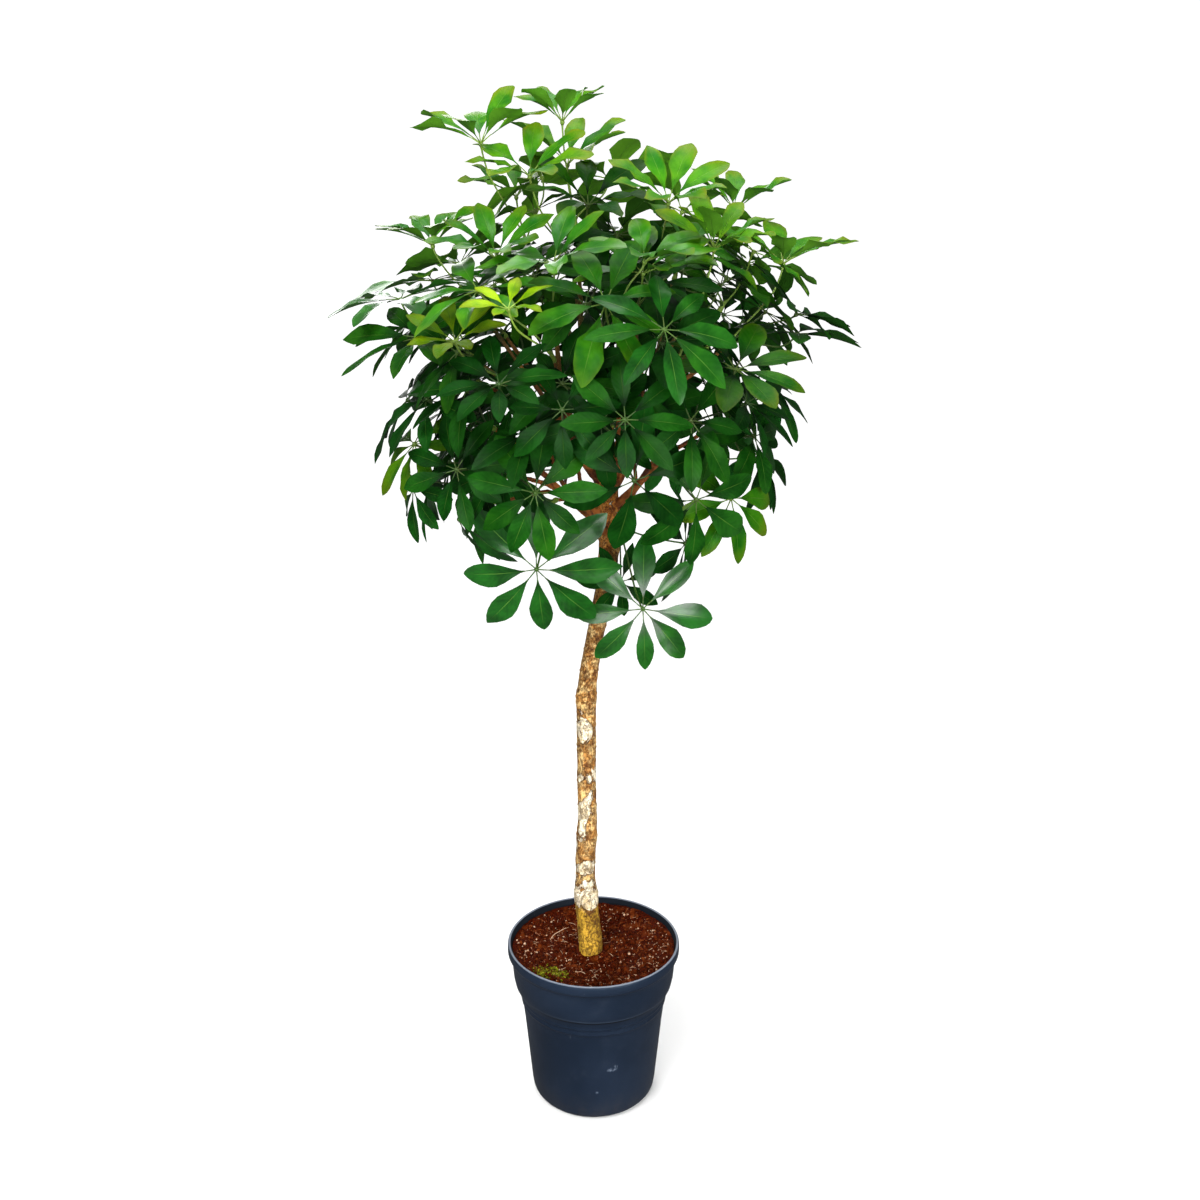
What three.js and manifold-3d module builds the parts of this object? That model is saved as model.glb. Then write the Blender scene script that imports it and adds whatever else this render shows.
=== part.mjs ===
// Potted umbrella plant: a bare woody stem with a round crown of leaves, standing in a nursery pot.
// Millimetres, +Z up. The origin is the centre of the pot's underside, and the front faces -Y.

import * as THREE from "three";
import { mergeVertices } from "three/addons/utils/BufferGeometryUtils.js";
import Module from "manifold-3d";

const wasm = await Module();
wasm.setup();

const degrees = THREE.MathUtils.degToRad;

// ---------------------------------------------------------------- driving dimensions

const SEAT = 0.3; // gap between two pieces that touch
const SLACK = 0.02; // edges shorter than this are closed up

// Pot: a moulded wall that follows these outside points, as [radius, height] from foot to lip.
const FLOOR = 3;
const FOOT_RADIUS = 79;
const ROUND_STEPS = 32;
const POT_OUTSIDE = [
  [FOOT_RADIUS, 0],
  [86, 6],
  [98, 124],
  [103, 155],
  [107, 168.5],
  [109.5, 170.5],
  [112.3, 183],
  [115, 212],
  [120, 219],
  [119, 231],
];
const POT_INSIDE = [
  [115.5, 231],
  [112.8, 212],
  [109.6, 184],
  [103.4, 165],
  [98.4, 141],
  [96, 121],
  [82, FLOOR],
];
const DRAIN_HOLES = 6;
const DRAIN_RADIUS = 5;
const DRAIN_CIRCLE = 52;
const DRAIN_FIRST = 30; // the first hole's angle in degrees from +X
const DRAIN_SIDES = 8;
const NOTCH_ANGLES = [-38, 142]; // the two drain notches at the foot's edge, in degrees from +X
const NOTCH_SIZE = [14, 22, 7]; // length outwards, width, height
const NOTCH_BITE = 2; // how far a notch reaches in from the foot

// Soil: fills the pot to a little below the lip, highest at the wall and heaped slightly round the stem.
const SOIL_TOP = [
  [113, 216],
  [98, 213],
  [48, 211],
];
const SOIL_CROWN = 214;

// Stem: [height, sideways place, radius] from its buried foot to the fork inside the crown.
const STEM = [
  [150, -4, 13],
  [195, -4, 15.5],
  [240, -5, 15.6],
  [282, -9, 14.8],
  [300, -10, 17.4],
  [322, -11, 13.2],
  [350, -11, 12.6],
  [388, -9, 13.9],
  [420, -8, 12.2],
  [480, -9, 11.8],
  [545, -9, 12.2],
  [590, -9, 13.7],
  [612, -7, 11.4],
  [650, -2, 10.8],
  [700, 8, 10.9],
  [745, 16, 11.3],
  [790, 21, 12.4],
  [835, 20, 13.6],
  [875, 16, 14.6],
  [900, 14, 12.5],
];
const STEM_SIDES = 8;
const STEM_STEPS = 30;

// Branches: each leaves the stem at a height and carries some of the shoots.
const BRANCHES = {
  low_front: { height: 800, radius: 5 },
  low_left: { height: 810, radius: 5.5 },
  left: { height: 834, radius: 6 },
  right: { height: 842, radius: 6 },
  front: { height: 856, radius: 6.5 },
  upper_left: { height: 868, radius: 6.5 },
  upper_right: { height: 872, radius: 6.5 },
  top: { height: 894, radius: 7 },
  low_back_left: { height: 818, radius: 5.5 },
  low_back_right: { height: 826, radius: 5.5 },
  upper_back_left: { height: 862, radius: 6 },
  upper_back_right: { height: 850, radius: 6 },
};
const FORK_SHARE = 0.48; // how far along the way to its buds a limb forks
const FORK_DROP = 6;
const LIMB_SAG = 0.12;
const LIMB_TIP_RADIUS = 4.2;
const LIMB_SIDES = 5;
const LIMB_STEPS = 3;
const TWIG_RADIUS = 3.4;
const TWIG_TIP_RADIUS = 2.7;
const TWIG_SIDES = 4;
const TWIG_STEPS = 3;
const TWIG_DEPTH = 2; // how far inside the limb the first twig starts
const TWIG_STAGGER = 1.5; // and how much deeper each next one does
const TWIG_PULL = 0.3; // how long a twig keeps its direction at both ends
const TWIG_BOW = 1.5; // how much further a bow pushes a twig than a stalk
const BUD_LENGTH = 12;
const BUD_RADIUS = 3.1;
const BUD_TIP_RADIUS = 1.6;
const BUD_SIDES = 5;
const BUD_LIFT = 0.35; // how much a bud turns up from the way outwards

// Shoots at the front and sides, each with its leaves as
// [hub x, hub y, hub z, facing azimuth, facing elevation, reach, cup, leaflets, turn].
// Facing azimuth 0 looks to the front and positive to the right; reach is from hub to leaflet tip;
// cup is how far the leaflets rise from the hub's plane; turn is the first leaflet's angle.
const FRONT_SHOOTS = [
  ["low_front", [[60, -120, 745, 8, 8, 82, -4, 8, 0], [35, -50, 760, 0, 0, 54, -10, 7, 20]]],
  ["front", [[45, -240, 920, 5, -5, 84, -14, 6, 20]]],
  ["low_left", [[-63, -170, 806, -6, -6, 92, -10, 8, 2], [-105, -170, 850, -18, -5, 76, -14, 8, 10]]],
  ["low_left", [[-60, -230, 905, -5, 8, 70, -6, 9, 5], [-30, -250, 995, 0, 15, 62, -8, 7, 10]]],
  ["left", [[-215, -70, 880, -55, 20, 62, -22, 7, 10], [-160, -80, 845, -50, -10, 80, -35, 6, 0]]],
  ["left", [[-205, -110, 940, -50, 40, 66, -8, 8, 20], [-185, -140, 995, -45, 45, 72, -4, 7, 0]]],
  ["left", [[-150, -170, 920, -25, 15, 64, -6, 8, 20]]],
  [
    "right",
    [
      [115, -190, 890, 18, -6, 80, -14, 7, 20],
      [130, -170, 935, 25, 25, 70, 0, 7, 20],
      [160, -130, 880, 35, 20, 76, -5, 8, 5],
    ],
  ],
  ["right", [[190, -80, 945, 40, 18, 70, -12, 7, 10], [225, 30, 990, 50, 45, 72, -6, 7, 10]]],
  ["front", [[35, -250, 985, 5, 22, 64, 2, 8, 0], [105, -215, 980, 20, 20, 74, -4, 7, 0]]],
  ["front", [[75, -235, 1075, 12, 35, 76, 2, 8, 0], [15, -210, 1100, 5, 48, 82, 18, 8, 20]]],
  ["upper_left", [[-95, -240, 1020, -10, 55, 66, 16, 8, 15], [-145, -190, 1060, -15, 60, 55, 30, 7, 10]]],
  ["upper_left", [[-50, -235, 1085, -10, 38, 76, -4, 8, 15], [-85, -225, 1095, -10, 65, 46, 30, 6, 25]]],
  ["upper_left", [[-195, -110, 1060, -30, 60, 88, 14, 8, 12], [-225, -40, 1100, -40, 78, 80, 10, 7, 20]]],
  ["upper_left", [[-185, -40, 1160, -35, 78, 68, 40, 8, 10], [-200, 60, 1120, -40, 80, 92, 6, 7, 0]]],
  ["upper_left", [[-105, -120, 1145, -8, 66, 72, 44, 8, 20], [-40, -170, 1140, -5, 66, 76, 30, 7, 30]]],
  ["upper_right", [[85, -90, 1205, 5, 63, 70, 40, 8, 20], [55, -160, 1130, 8, 68, 76, 30, 7, 30]]],
  ["upper_right", [[180, 110, 1205, 30, 80, 72, 46, 7, 10], [160, 60, 1115, 20, 60, 62, 25, 7, 10]]],
  ["upper_right", [[230, 10, 1140, 40, 84, 92, 36, 7, 10], [240, -40, 1060, 50, 82, 78, 10, 7, 10]]],
  ["upper_right", [[135, -110, 1155, 12, 68, 74, 42, 8, 10], [155, -180, 1030, 20, 60, 84, 14, 8, 10]]],
  ["top", [[-35, 10, 1300, 0, 80, 62, 46, 7, 15], [-30, 40, 1255, 20, 80, 80, 44, 7, 15]]],
  ["top", [[-130, 0, 1275, -30, 82, 80, 36, 7, 25], [-95, 80, 1220, -20, 78, 66, 43, 7, 10]]],
  ["top", [[-70, -60, 1235, -5, 63, 72, 40, 7, 40], [-5, -30, 1205, 10, 58, 76, 38, 7, 35]]],
  ["top", [[10, -140, 1140, 0, 68, 76, 30, 7, 0]]],
];
const FRONT_SHOOT_LEAVES = 3;

// Shoots at the back: spread over the rear of the crown by height and swing.
const BACK_SHOOTS = 16;
const BACK_SHOOT_LEAVES = 3;
const BACK_LOWEST = 845;
const BACK_HIGHEST = 1130;
const BACK_SWING = 190;
const BACK_SPREAD = 150;
const BACK_LOW_SHARE = 0.45; // of the back shoots grow from the lower branches
const GOLDEN_TURN = 137.508;

// Crown: leaves grow out of this core and stay inside this egg.
const CORE = new THREE.Vector3(12, 0, 930);
const EGG_CENTRE = new THREE.Vector3(12, 0, 1000);
const EGG_RADII = new THREE.Vector3(245, 245, 262);
const WINDOW_TOP = 940; // the stem shows between the leaves in front of it, up to here
const WINDOW_HALF_WIDTH = 95;

// Leaf stalks: from the bud outwards, each ending square to its leaf's hub.
const STALK_REACH = 95;
const STALK_REACH_SPREAD = 35;
const STALK_SHORTER = 0.4; // the share of the spread that lies below the usual reach
const STALK_RISE = 28; // degrees from the bud's axis
const STALK_RISE_STEP = 11;
const STALK_RISE_STEPS = 6;
const STALK_TRIES = 40;
const STALK_RADIUS = 1.4;
const STALK_SIDES = 3;
const STALK_STEPS = 4;
const STALK_START_PULL = 0.12;
const STALK_WAY_PULL = 0.2;
const STALK_END_PULL = 0.32;
// The ways a stalk or twig may be bowed to get past the others, as [sideways, upwards].
const BOWS = [
  [0, 0],
  [14, 0],
  [-14, 0],
  [0, 14],
  [0, -14],
  [28, 10],
  [-28, 10],
  [28, -12],
  [-28, -12],
];

// Leaflets: a flat kite with a raised middle, joined at a small hub.
const HUB_RADIUS = 3.2;
const HUB_HALF_HEIGHT = 2.6;
const WIDEST_GAP = degrees(85); // between two leaflets before the hub's rim needs a corner
const LEAFLET_FOOT = 1;
const LEAFLET_STALK = 0.22; // the part of the reach that is bare
const LEAFLET_BREADTH = 0.155; // half breadth over reach
const LEAFLET_WIDEST = 0.64;
const LEAFLET_MIDDLE = 0.56;
const LEAFLET_THICKNESS = 1.2;
const LEAFLET_TIP_DROP = 0.08;
const LEAFLET_ARCH = 0.02;
const LEAFLET_WEIGHT = 0.12; // how much a leaflet hangs down
const LEAFLET_WOBBLE = 8; // degrees round the hub
const LEAFLET_SHORTEST = 0.88;
const LEAFLET_LENGTHS = 0.2; // spread of the lengths in one leaf
const LEAFLET_TILTS = [0, 9, -9, 18, -18, 27, -27];
const LEAFLET_SIZES = [1, 0.85, 0.7];
const BLADE_SHIFT = 1.2; // above 1, the blade is broadest beyond its middle
const BLADE_FULLNESS = 0.7; // below 1, the blade is rounder than a sine
const FEWEST_LEAFLETS = 5;

// Leaves between the placed ones turn from outwards low down to upwards high up in the crown.
const LEVEL_HEIGHT = 800;
const TURN_PER_HEIGHT = 1 / 6;
const LOWEST_TURN = -6;
const HIGHEST_TURN = 82;
const TURN_SPREAD = 16;
const REACH_LEAST = 70;
const REACH_SPREAD = 16;
const CUP_LEAST = -12;
const CUP_PER_HEIGHT = 0.08;
const LEAFLETS_LEAST = 7;
const FIRST_ANGLE_SPREAD = 45;

// Room that each kind of growth keeps round itself, and the spacing at which it is tested.
const LEAFLET_ROOM = 3.6;
const STALK_ROOM = 2.7;
const WOOD_ROOM = 2;
const ROOM_SPACING = 5;
const ROOM_ROWS = 6;
const ROOM_CELL = 20;
const STEM_ROOM = 17;
const BUD_REACH = 8; // a stalk may lie close to its own branch for this far

const UP = new THREE.Vector3(0, 0, 1);

// ---------------------------------------------------------------- materials

const finish = (color, roughness) => new THREE.MeshStandardMaterial({ color, roughness, metalness: 0 });
const potPlastic = () => finish(0x1d2430, 0.5);
const peat = () => finish(0x4a2214, 0.95);
const bark = () => finish(0xb08a5a, 0.85);
const greenwood = () => finish(0x7d6a3f, 0.75);
const leafGreen = () => finish(0x1f6b25, 0.4);

// ---------------------------------------------------------------- helpers

// A repeatable number from 0 to 1 for each seed.
function chance(seed) {
  const wave = Math.sin(seed * 12.9898) * 43758.5453;
  return wave - Math.floor(wave);
}

// A closed three.js geometry as a solid: its shared corners are merged first.
function solidOf(geometry) {
  const bare = geometry.clone();
  bare.deleteAttribute("normal");
  bare.deleteAttribute("uv");
  const merged = mergeVertices(bare, 1e-3);
  return new wasm.Manifold(
    new wasm.Mesh({
      numProp: 3,
      vertProperties: new Float32Array(merged.attributes.position.array),
      triVerts: new Uint32Array(merged.index.array),
    }),
  );
}

// A cut can leave specks behind: only the main body is kept.
function largestBody(solid) {
  return solid.decompose().reduce((best, body) => (body.volume() > best.volume() ? body : best));
}

function geometryOf(solid) {
  const mesh = solid.getMesh();
  const geometry = new THREE.BufferGeometry();
  geometry.setAttribute("position", new THREE.BufferAttribute(mesh.vertProperties, 3));
  geometry.setIndex(new THREE.BufferAttribute(mesh.triVerts, 1));
  geometry.computeVertexNormals();
  return geometry;
}

// Joining leaves some slivers: edges shorter than the slack are closed up.
function named(name, solid, material) {
  const mesh = new THREE.Mesh(geometryOf(solid.simplify(SLACK)), material);
  mesh.name = name;
  return mesh;
}

// A solid turned from a [radius, height] outline that starts and ends on the axis.
function turned(outline, steps) {
  const points = outline.map(([radius, height]) => new THREE.Vector2(radius, height));
  const lathe = new THREE.LatheGeometry(points, steps);
  lathe.rotateX(Math.PI / 2);
  return solidOf(lathe);
}

// A closed tube of changing radius along a curve: a cylinder whose rings are moved onto the curve.
// It can run on past both ends of the curve.
function taperedTube(curve, radiusAt, sides, steps, past = 0) {
  const tube = new THREE.CylinderGeometry(1, 1, 1, sides, steps);
  const frames = curve.computeFrenetFrames(steps, false);
  const place = tube.attributes.position;
  for (let i = 0; i < place.count; i += 1) {
    const step = Math.round((place.getY(i) + 0.5) * steps);
    const along = step / steps;
    const radius = radiusAt(along);
    const point = curve.getPointAt(along);
    if (step === 0 || step === steps) {
      point.addScaledVector(frames.tangents[step], step === 0 ? -past : past);
    }
    point.addScaledVector(frames.normals[step], place.getX(i) * radius);
    point.addScaledVector(frames.binormals[step], -place.getZ(i) * radius);
    place.setXYZ(i, point.x, point.y, point.z);
  }
  return solidOf(tube);
}

// The unit direction that looks to an azimuth (0 to the front, 90 to the right) and an elevation.
function looking(azimuth, elevation) {
  const a = degrees(azimuth);
  const e = degrees(elevation);
  return new THREE.Vector3(Math.sin(a) * Math.cos(e), -Math.cos(a) * Math.cos(e), Math.sin(e));
}

// ---------------------------------------------------------------- room in the crown

// Everything that grows is a string of points, each with the room it keeps. New growth is clear
// when none of its points comes within the two rooms' sum of a point that is already there.
const cells = new Map();
const cellOf = (value) => Math.floor(value / ROOM_CELL);

function claim(points) {
  for (const point of points) {
    const key = `${cellOf(point.at.x)},${cellOf(point.at.y)},${cellOf(point.at.z)}`;
    if (!cells.has(key)) {
      cells.set(key, []);
    }
    cells.get(key).push(point);
  }
}

function nearby(at) {
  const found = [];
  for (let i = -1; i <= 1; i += 1) {
    for (let j = -1; j <= 1; j += 1) {
      for (let k = -1; k <= 1; k += 1) {
        const key = `${cellOf(at.x) + i},${cellOf(at.y) + j},${cellOf(at.z) + k}`;
        found.push(...(cells.get(key) ?? []));
      }
    }
  }
  return found;
}

function isClear(points, mayTouch = () => false) {
  return points.every((point) =>
    nearby(point.at).every(
      (other) => mayTouch(point, other) || point.at.distanceTo(other.at) >= point.room + other.room,
    ),
  );
}

// Points along a tube's straight steps, each with its distance from the start and its owner.
function roomAlong(curve, steps, room, owner) {
  const path = new THREE.CurvePath();
  const ends = curve.getSpacedPoints(steps);
  for (let i = 0; i < steps; i += 1) {
    path.add(new THREE.LineCurve3(ends[i], ends[i + 1]));
  }
  const length = path.getLength();
  const count = Math.ceil(length / ROOM_SPACING);
  return Array.from({ length: count + 1 }, (_unused, i) => ({
    at: path.getPoint(i / count),
    from: (length * i) / count,
    room,
    owner,
  }));
}

// ---------------------------------------------------------------- pot and soil

function makePot() {
  const shell = turned([[0, 0], ...POT_OUTSIDE, ...POT_INSIDE, [0, FLOOR]], ROUND_STEPS);
  let pot = shell;
  for (let i = 0; i < DRAIN_HOLES; i += 1) {
    const angle = degrees(DRAIN_FIRST + (360 * i) / DRAIN_HOLES);
    const hole = new THREE.CylinderGeometry(DRAIN_RADIUS, DRAIN_RADIUS, 4 * FLOOR, DRAIN_SIDES);
    hole.rotateX(Math.PI / 2);
    hole.translate(DRAIN_CIRCLE * Math.cos(angle), DRAIN_CIRCLE * Math.sin(angle), 0);
    pot = pot.subtract(solidOf(hole));
  }
  for (const angle of NOTCH_ANGLES) {
    const notch = new THREE.BoxGeometry(...NOTCH_SIZE);
    notch.translate(FOOT_RADIUS - NOTCH_BITE + NOTCH_SIZE[0] / 2, 0, NOTCH_SIZE[2] / 2 - 1);
    notch.rotateZ(degrees(angle));
    pot = pot.subtract(solidOf(notch));
  }
  return pot;
}

function makeSoil(stem) {
  const side = POT_INSIDE.slice(1).map(([radius, height]) => [radius - SEAT, height + SEAT]);
  const buried = side.filter(([, height]) => height < SOIL_TOP[0][1]);
  const outline = [[0, SOIL_CROWN], ...SOIL_TOP.toReversed(), ...buried, [0, FLOOR + SEAT]];
  return turned(outline.toReversed(), ROUND_STEPS).subtract(stem);
}

// ---------------------------------------------------------------- stem and branches

const stemCurve = new THREE.CatmullRomCurve3(
  STEM.map(([height, sideways]) => new THREE.Vector3(sideways, 0, height)),
);

function stemRadiusAt(height) {
  const last = STEM.length - 1;
  if (height >= STEM[last][0]) {
    return STEM[last][2];
  }
  const above = Math.max(STEM.findIndex(([z]) => z > height), 1);
  const [z0, , r0] = STEM[above - 1];
  const [z1, , r1] = STEM[above];
  return THREE.MathUtils.lerp(r0, r1, (height - z0) / (z1 - z0));
}

// The stem, or the same shape grown by a gap on every side to cut its neighbours with.
function makeStem(gap) {
  const radiusAt = (along) => stemRadiusAt(stemCurve.getPointAt(along).z) + gap;
  return taperedTube(stemCurve, radiusAt, STEM_SIDES, STEM_STEPS, gap);
}

function stemPointAt(height) {
  const above = Math.max(STEM.findIndex(([z]) => z > height), 1);
  const [z0, x0] = STEM[above - 1];
  const [z1, x1] = STEM[above];
  return new THREE.Vector3(THREE.MathUtils.mapLinear(height, z0, z1, x0, x1), 0, height);
}

// A branch is one limb to a fork, and from there one twig to each of its shoots. A twig is bowed
// until it is clear of the wood that has grown before it.
function growBranch(name, height, radius, owners) {
  const root = stemPointAt(height);
  const middle = new THREE.Vector3();
  owners.forEach(({ bud }) => middle.addScaledVector(bud.at, 1 / owners.length));
  const fork = root.clone().lerp(middle, FORK_SHARE);
  fork.z -= FORK_DROP;
  const bend = root.clone().lerp(fork, 0.5);
  bend.z -= LIMB_SAG * root.distanceTo(fork);
  const limb = new THREE.QuadraticBezierCurve3(root, bend, fork);
  claim(roomAlong(limb, LIMB_STEPS, radius + WOOD_ROOM, name));
  const leaving = limb.getTangentAt(1);
  const twigs = owners.map((shoot, i) => {
    const start = fork.clone().addScaledVector(leaving, -TWIG_DEPTH - TWIG_STAGGER * i);
    const curves = BOWS.map((bow) => twigCurve(start, leaving, shoot.bud, bow));
    const ownWood = (_point, other) => other.owner === name || other.owner === shoot;
    const roomOf = (curve) => roomAlong(curve, TWIG_STEPS, TWIG_RADIUS + WOOD_ROOM, name);
    const twig = curves.find((curve) => isClear(roomOf(curve), ownWood)) ?? curves[0];
    claim(roomOf(twig));
    return twig;
  });
  return { limb, twigs };
}

function twigCurve(start, leaving, bud, bow) {
  const span = start.distanceTo(bud.at);
  const first = start.clone().addScaledVector(leaving, TWIG_PULL * span);
  const second = bud.at.clone().addScaledVector(bud.axis, -TWIG_PULL * span);
  first.add(bowOffset(start, bud.at, bow).multiplyScalar(TWIG_BOW));
  return new THREE.CubicBezierCurve3(start, first, second, bud.at);
}

// How far a bow moves a curve's middle: sideways across the way from start to end, and upwards.
function bowOffset(start, end, [sideways, upwards]) {
  const across = new THREE.Vector3().crossVectors(end.clone().sub(start), UP).normalize();
  return across.multiplyScalar(sideways).addScaledVector(UP, upwards);
}

function makeBranch({ limb, twigs }, radius, stemCutter) {
  const limbRadius = (along) => THREE.MathUtils.lerp(radius, LIMB_TIP_RADIUS, along);
  const twigRadius = (along) => THREE.MathUtils.lerp(TWIG_RADIUS, TWIG_TIP_RADIUS, along);
  let wood = taperedTube(limb, limbRadius, LIMB_SIDES, LIMB_STEPS);
  for (const twig of twigs) {
    wood = wood.add(taperedTube(twig, twigRadius, TWIG_SIDES, TWIG_STEPS));
  }
  return largestBody(wood.subtract(stemCutter));
}

// ---------------------------------------------------------------- leaves

// The hub's own directions: out of its upper side, and two across it.
function hubFrame(azimuth, elevation) {
  const facing = looking(azimuth, elevation);
  const across = looking(azimuth, elevation + 90);
  return { facing, across, side: new THREE.Vector3().crossVectors(across, facing) };
}

// One leaflet's directions and corners, given its angle round the hub and its rise from the plane.
function makeLeaflet(hub, frame, angle, rise, reach) {
  const flat = frame.side.clone().multiplyScalar(Math.cos(angle));
  flat.addScaledVector(frame.across, Math.sin(angle));
  const along = flat.clone().multiplyScalar(Math.cos(rise)).addScaledVector(frame.facing, Math.sin(rise));
  along.addScaledVector(UP, -LEAFLET_WEIGHT).normalize();
  const left = new THREE.Vector3().crossVectors(frame.facing, along).normalize();
  const top = new THREE.Vector3().crossVectors(along, left);
  const spot = (forward, sideways, raised) =>
    hub
      .clone()
      .addScaledVector(along, forward * reach)
      .addScaledVector(left, sideways * reach)
      .addScaledVector(top, raised * reach);
  return {
    angle,
    spot,
    foot: [-1, 1].map((hand) => {
      const sideways = new THREE.Vector3().crossVectors(frame.facing, flat);
      return hub.clone().addScaledVector(flat, HUB_RADIUS).addScaledVector(sideways, hand * LEAFLET_FOOT);
    }),
    right: spot(LEAFLET_WIDEST, -LEAFLET_BREADTH, 0),
    tip: spot(1, 0, -LEAFLET_TIP_DROP),
    left: spot(LEAFLET_WIDEST, LEAFLET_BREADTH, 0),
    middle: spot(LEAFLET_MIDDLE, 0, LEAFLET_ARCH).addScaledVector(top, LEAFLET_THICKNESS),
    flat,
    reach,
  };
}

// The room a leaflet takes: rows of points across its foot and its blade, which is rounder than
// the kite and bends down towards its tip.
function leafletRoom(leaflet) {
  const points = [];
  const rows = Math.ceil(leaflet.reach / ROOM_ROWS);
  for (let row = 1; row <= rows; row += 1) {
    const forward = row / rows;
    const blade = Math.max(forward - LEAFLET_STALK, 0) / (1 - LEAFLET_STALK);
    const breadth = LEAFLET_BREADTH * Math.sin(Math.PI * blade ** BLADE_SHIFT) ** BLADE_FULLNESS;
    const raised = -LEAFLET_TIP_DROP * Math.max(2 * forward - 1, 0);
    for (const share of [-1, -0.5, 0, 0.5, 1]) {
      points.push({ at: leaflet.spot(forward, share * breadth, raised), room: LEAFLET_ROOM, leaflet });
    }
  }
  return points;
}

// A leaf is one closed body. Round the hub, each leaflet is a kite with a raised middle, and the
// kites' feet are joined over the hub to one point and under it to the last ring of the stalk.
function makeLeaf(hub, facing, stalk, leaflets) {
  const corners = [];
  const faces = [];
  const add = (point) => corners.push(point) - 1;
  const rings = stalkRings(stalk).map((ring) => ring.map(add));
  const sides = STALK_SIDES;
  for (let k = 0; k < rings.length - 1; k += 1) {
    for (let j = 0; j < sides; j += 1) {
      const [a, b] = [rings[k][j], rings[k][(j + 1) % sides]];
      const [c, d] = [rings[k + 1][(j + 1) % sides], rings[k + 1][j]];
      faces.push([a, b, c], [a, c, d]);
    }
  }
  faces.push(rings[0].toReversed());
  const over = add(hub.clone().addScaledVector(facing, HUB_HALF_HEIGHT));
  const collar = rings[rings.length - 1];
  const nearest = ({ flat }) => {
    const reach = (corner) => corners[corner].clone().sub(hub).dot(flat);
    return collar.reduce((best, corner, j) => (reach(corner) > reach(collar[best]) ? j : best), 0);
  };
  const outlines = leaflets.map((leaflet) => ({
    rim: [leaflet.foot[0], leaflet.right, leaflet.tip, leaflet.left, leaflet.foot[1]].map(add),
    middle: add(leaflet.middle),
    under: nearest(leaflet),
    angle: leaflet.angle,
  }));
  outlines.forEach(({ rim, middle, under, angle }, i) => {
    const [rightFoot, right, tip, left, leftFoot] = rim;
    const below = collar[under];
    for (let j = 0; j < rim.length - 1; j += 1) {
      faces.push([middle, rim[j], rim[j + 1]]);
    }
    faces.push([middle, leftFoot, over], [middle, over, rightFoot]);
    faces.push([below, right, rightFoot], [below, left, right], [left, tip, right], [below, leftFoot, left]);
    const next = outlines[(i + 1) % outlines.length];
    const gap = THREE.MathUtils.euclideanModulo(next.angle - angle, 2 * Math.PI);
    const bare = Math.floor(gap / WIDEST_GAP);
    let last = leftFoot;
    for (let k = 1; k <= bare; k += 1) {
      const turn = (gap * k) / (bare + 1);
      const spoke = leaflets[i].flat.clone().applyAxisAngle(facing, turn);
      const notch = add(hub.clone().addScaledVector(spoke, HUB_RADIUS));
      faces.push([over, last, notch], [below, notch, last]);
      last = notch;
    }
    faces.push([over, last, next.rim[0]], [below, next.rim[0], last]);
    for (let j = under; j !== next.under; j = (j + 1) % sides) {
      faces.push([next.rim[0], collar[j], collar[(j + 1) % sides]]);
    }
  });
  const geometry = new THREE.BufferGeometry();
  const flat = corners.flatMap((point) => point.toArray());
  geometry.setAttribute("position", new THREE.Float32BufferAttribute(flat, 3));
  geometry.setIndex(faces.flat());
  return solidOf(geometry);
}

// Rings of corners along a stalk, the last one just under the hub.
function stalkRings(stalk) {
  const frames = stalk.computeFrenetFrames(STALK_STEPS, false);
  return frames.tangents.map((_, step) =>
    Array.from({ length: STALK_SIDES }, (_unused, j) => {
      const turn = (2 * Math.PI * j) / STALK_SIDES;
      return stalk
        .getPointAt(step / STALK_STEPS)
        .addScaledVector(frames.normals[step], STALK_RADIUS * Math.cos(turn))
        .addScaledVector(frames.binormals[step], STALK_RADIUS * Math.sin(turn));
    }),
  );
}

// The stalk's curve from the shoot's tip to the hub.
function stalkCurve(bud, hub, facing, bow) {
  const start = bud.at.clone().addScaledVector(bud.axis, BUD_LENGTH / 2);
  const span = start.distanceTo(hub);
  const toHub = hub.clone().sub(start).normalize();
  const offset = bowOffset(start, hub, bow);
  const first = start.clone().addScaledVector(bud.axis, STALK_START_PULL * span);
  first.addScaledVector(toHub, STALK_WAY_PULL * span);
  const end = hub.clone().addScaledVector(facing, -HUB_HALF_HEIGHT);
  const second = end.clone().addScaledVector(facing, -STALK_END_PULL * span);
  return new THREE.CubicBezierCurve3(start, first.add(offset), second.add(offset), end);
}

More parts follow.
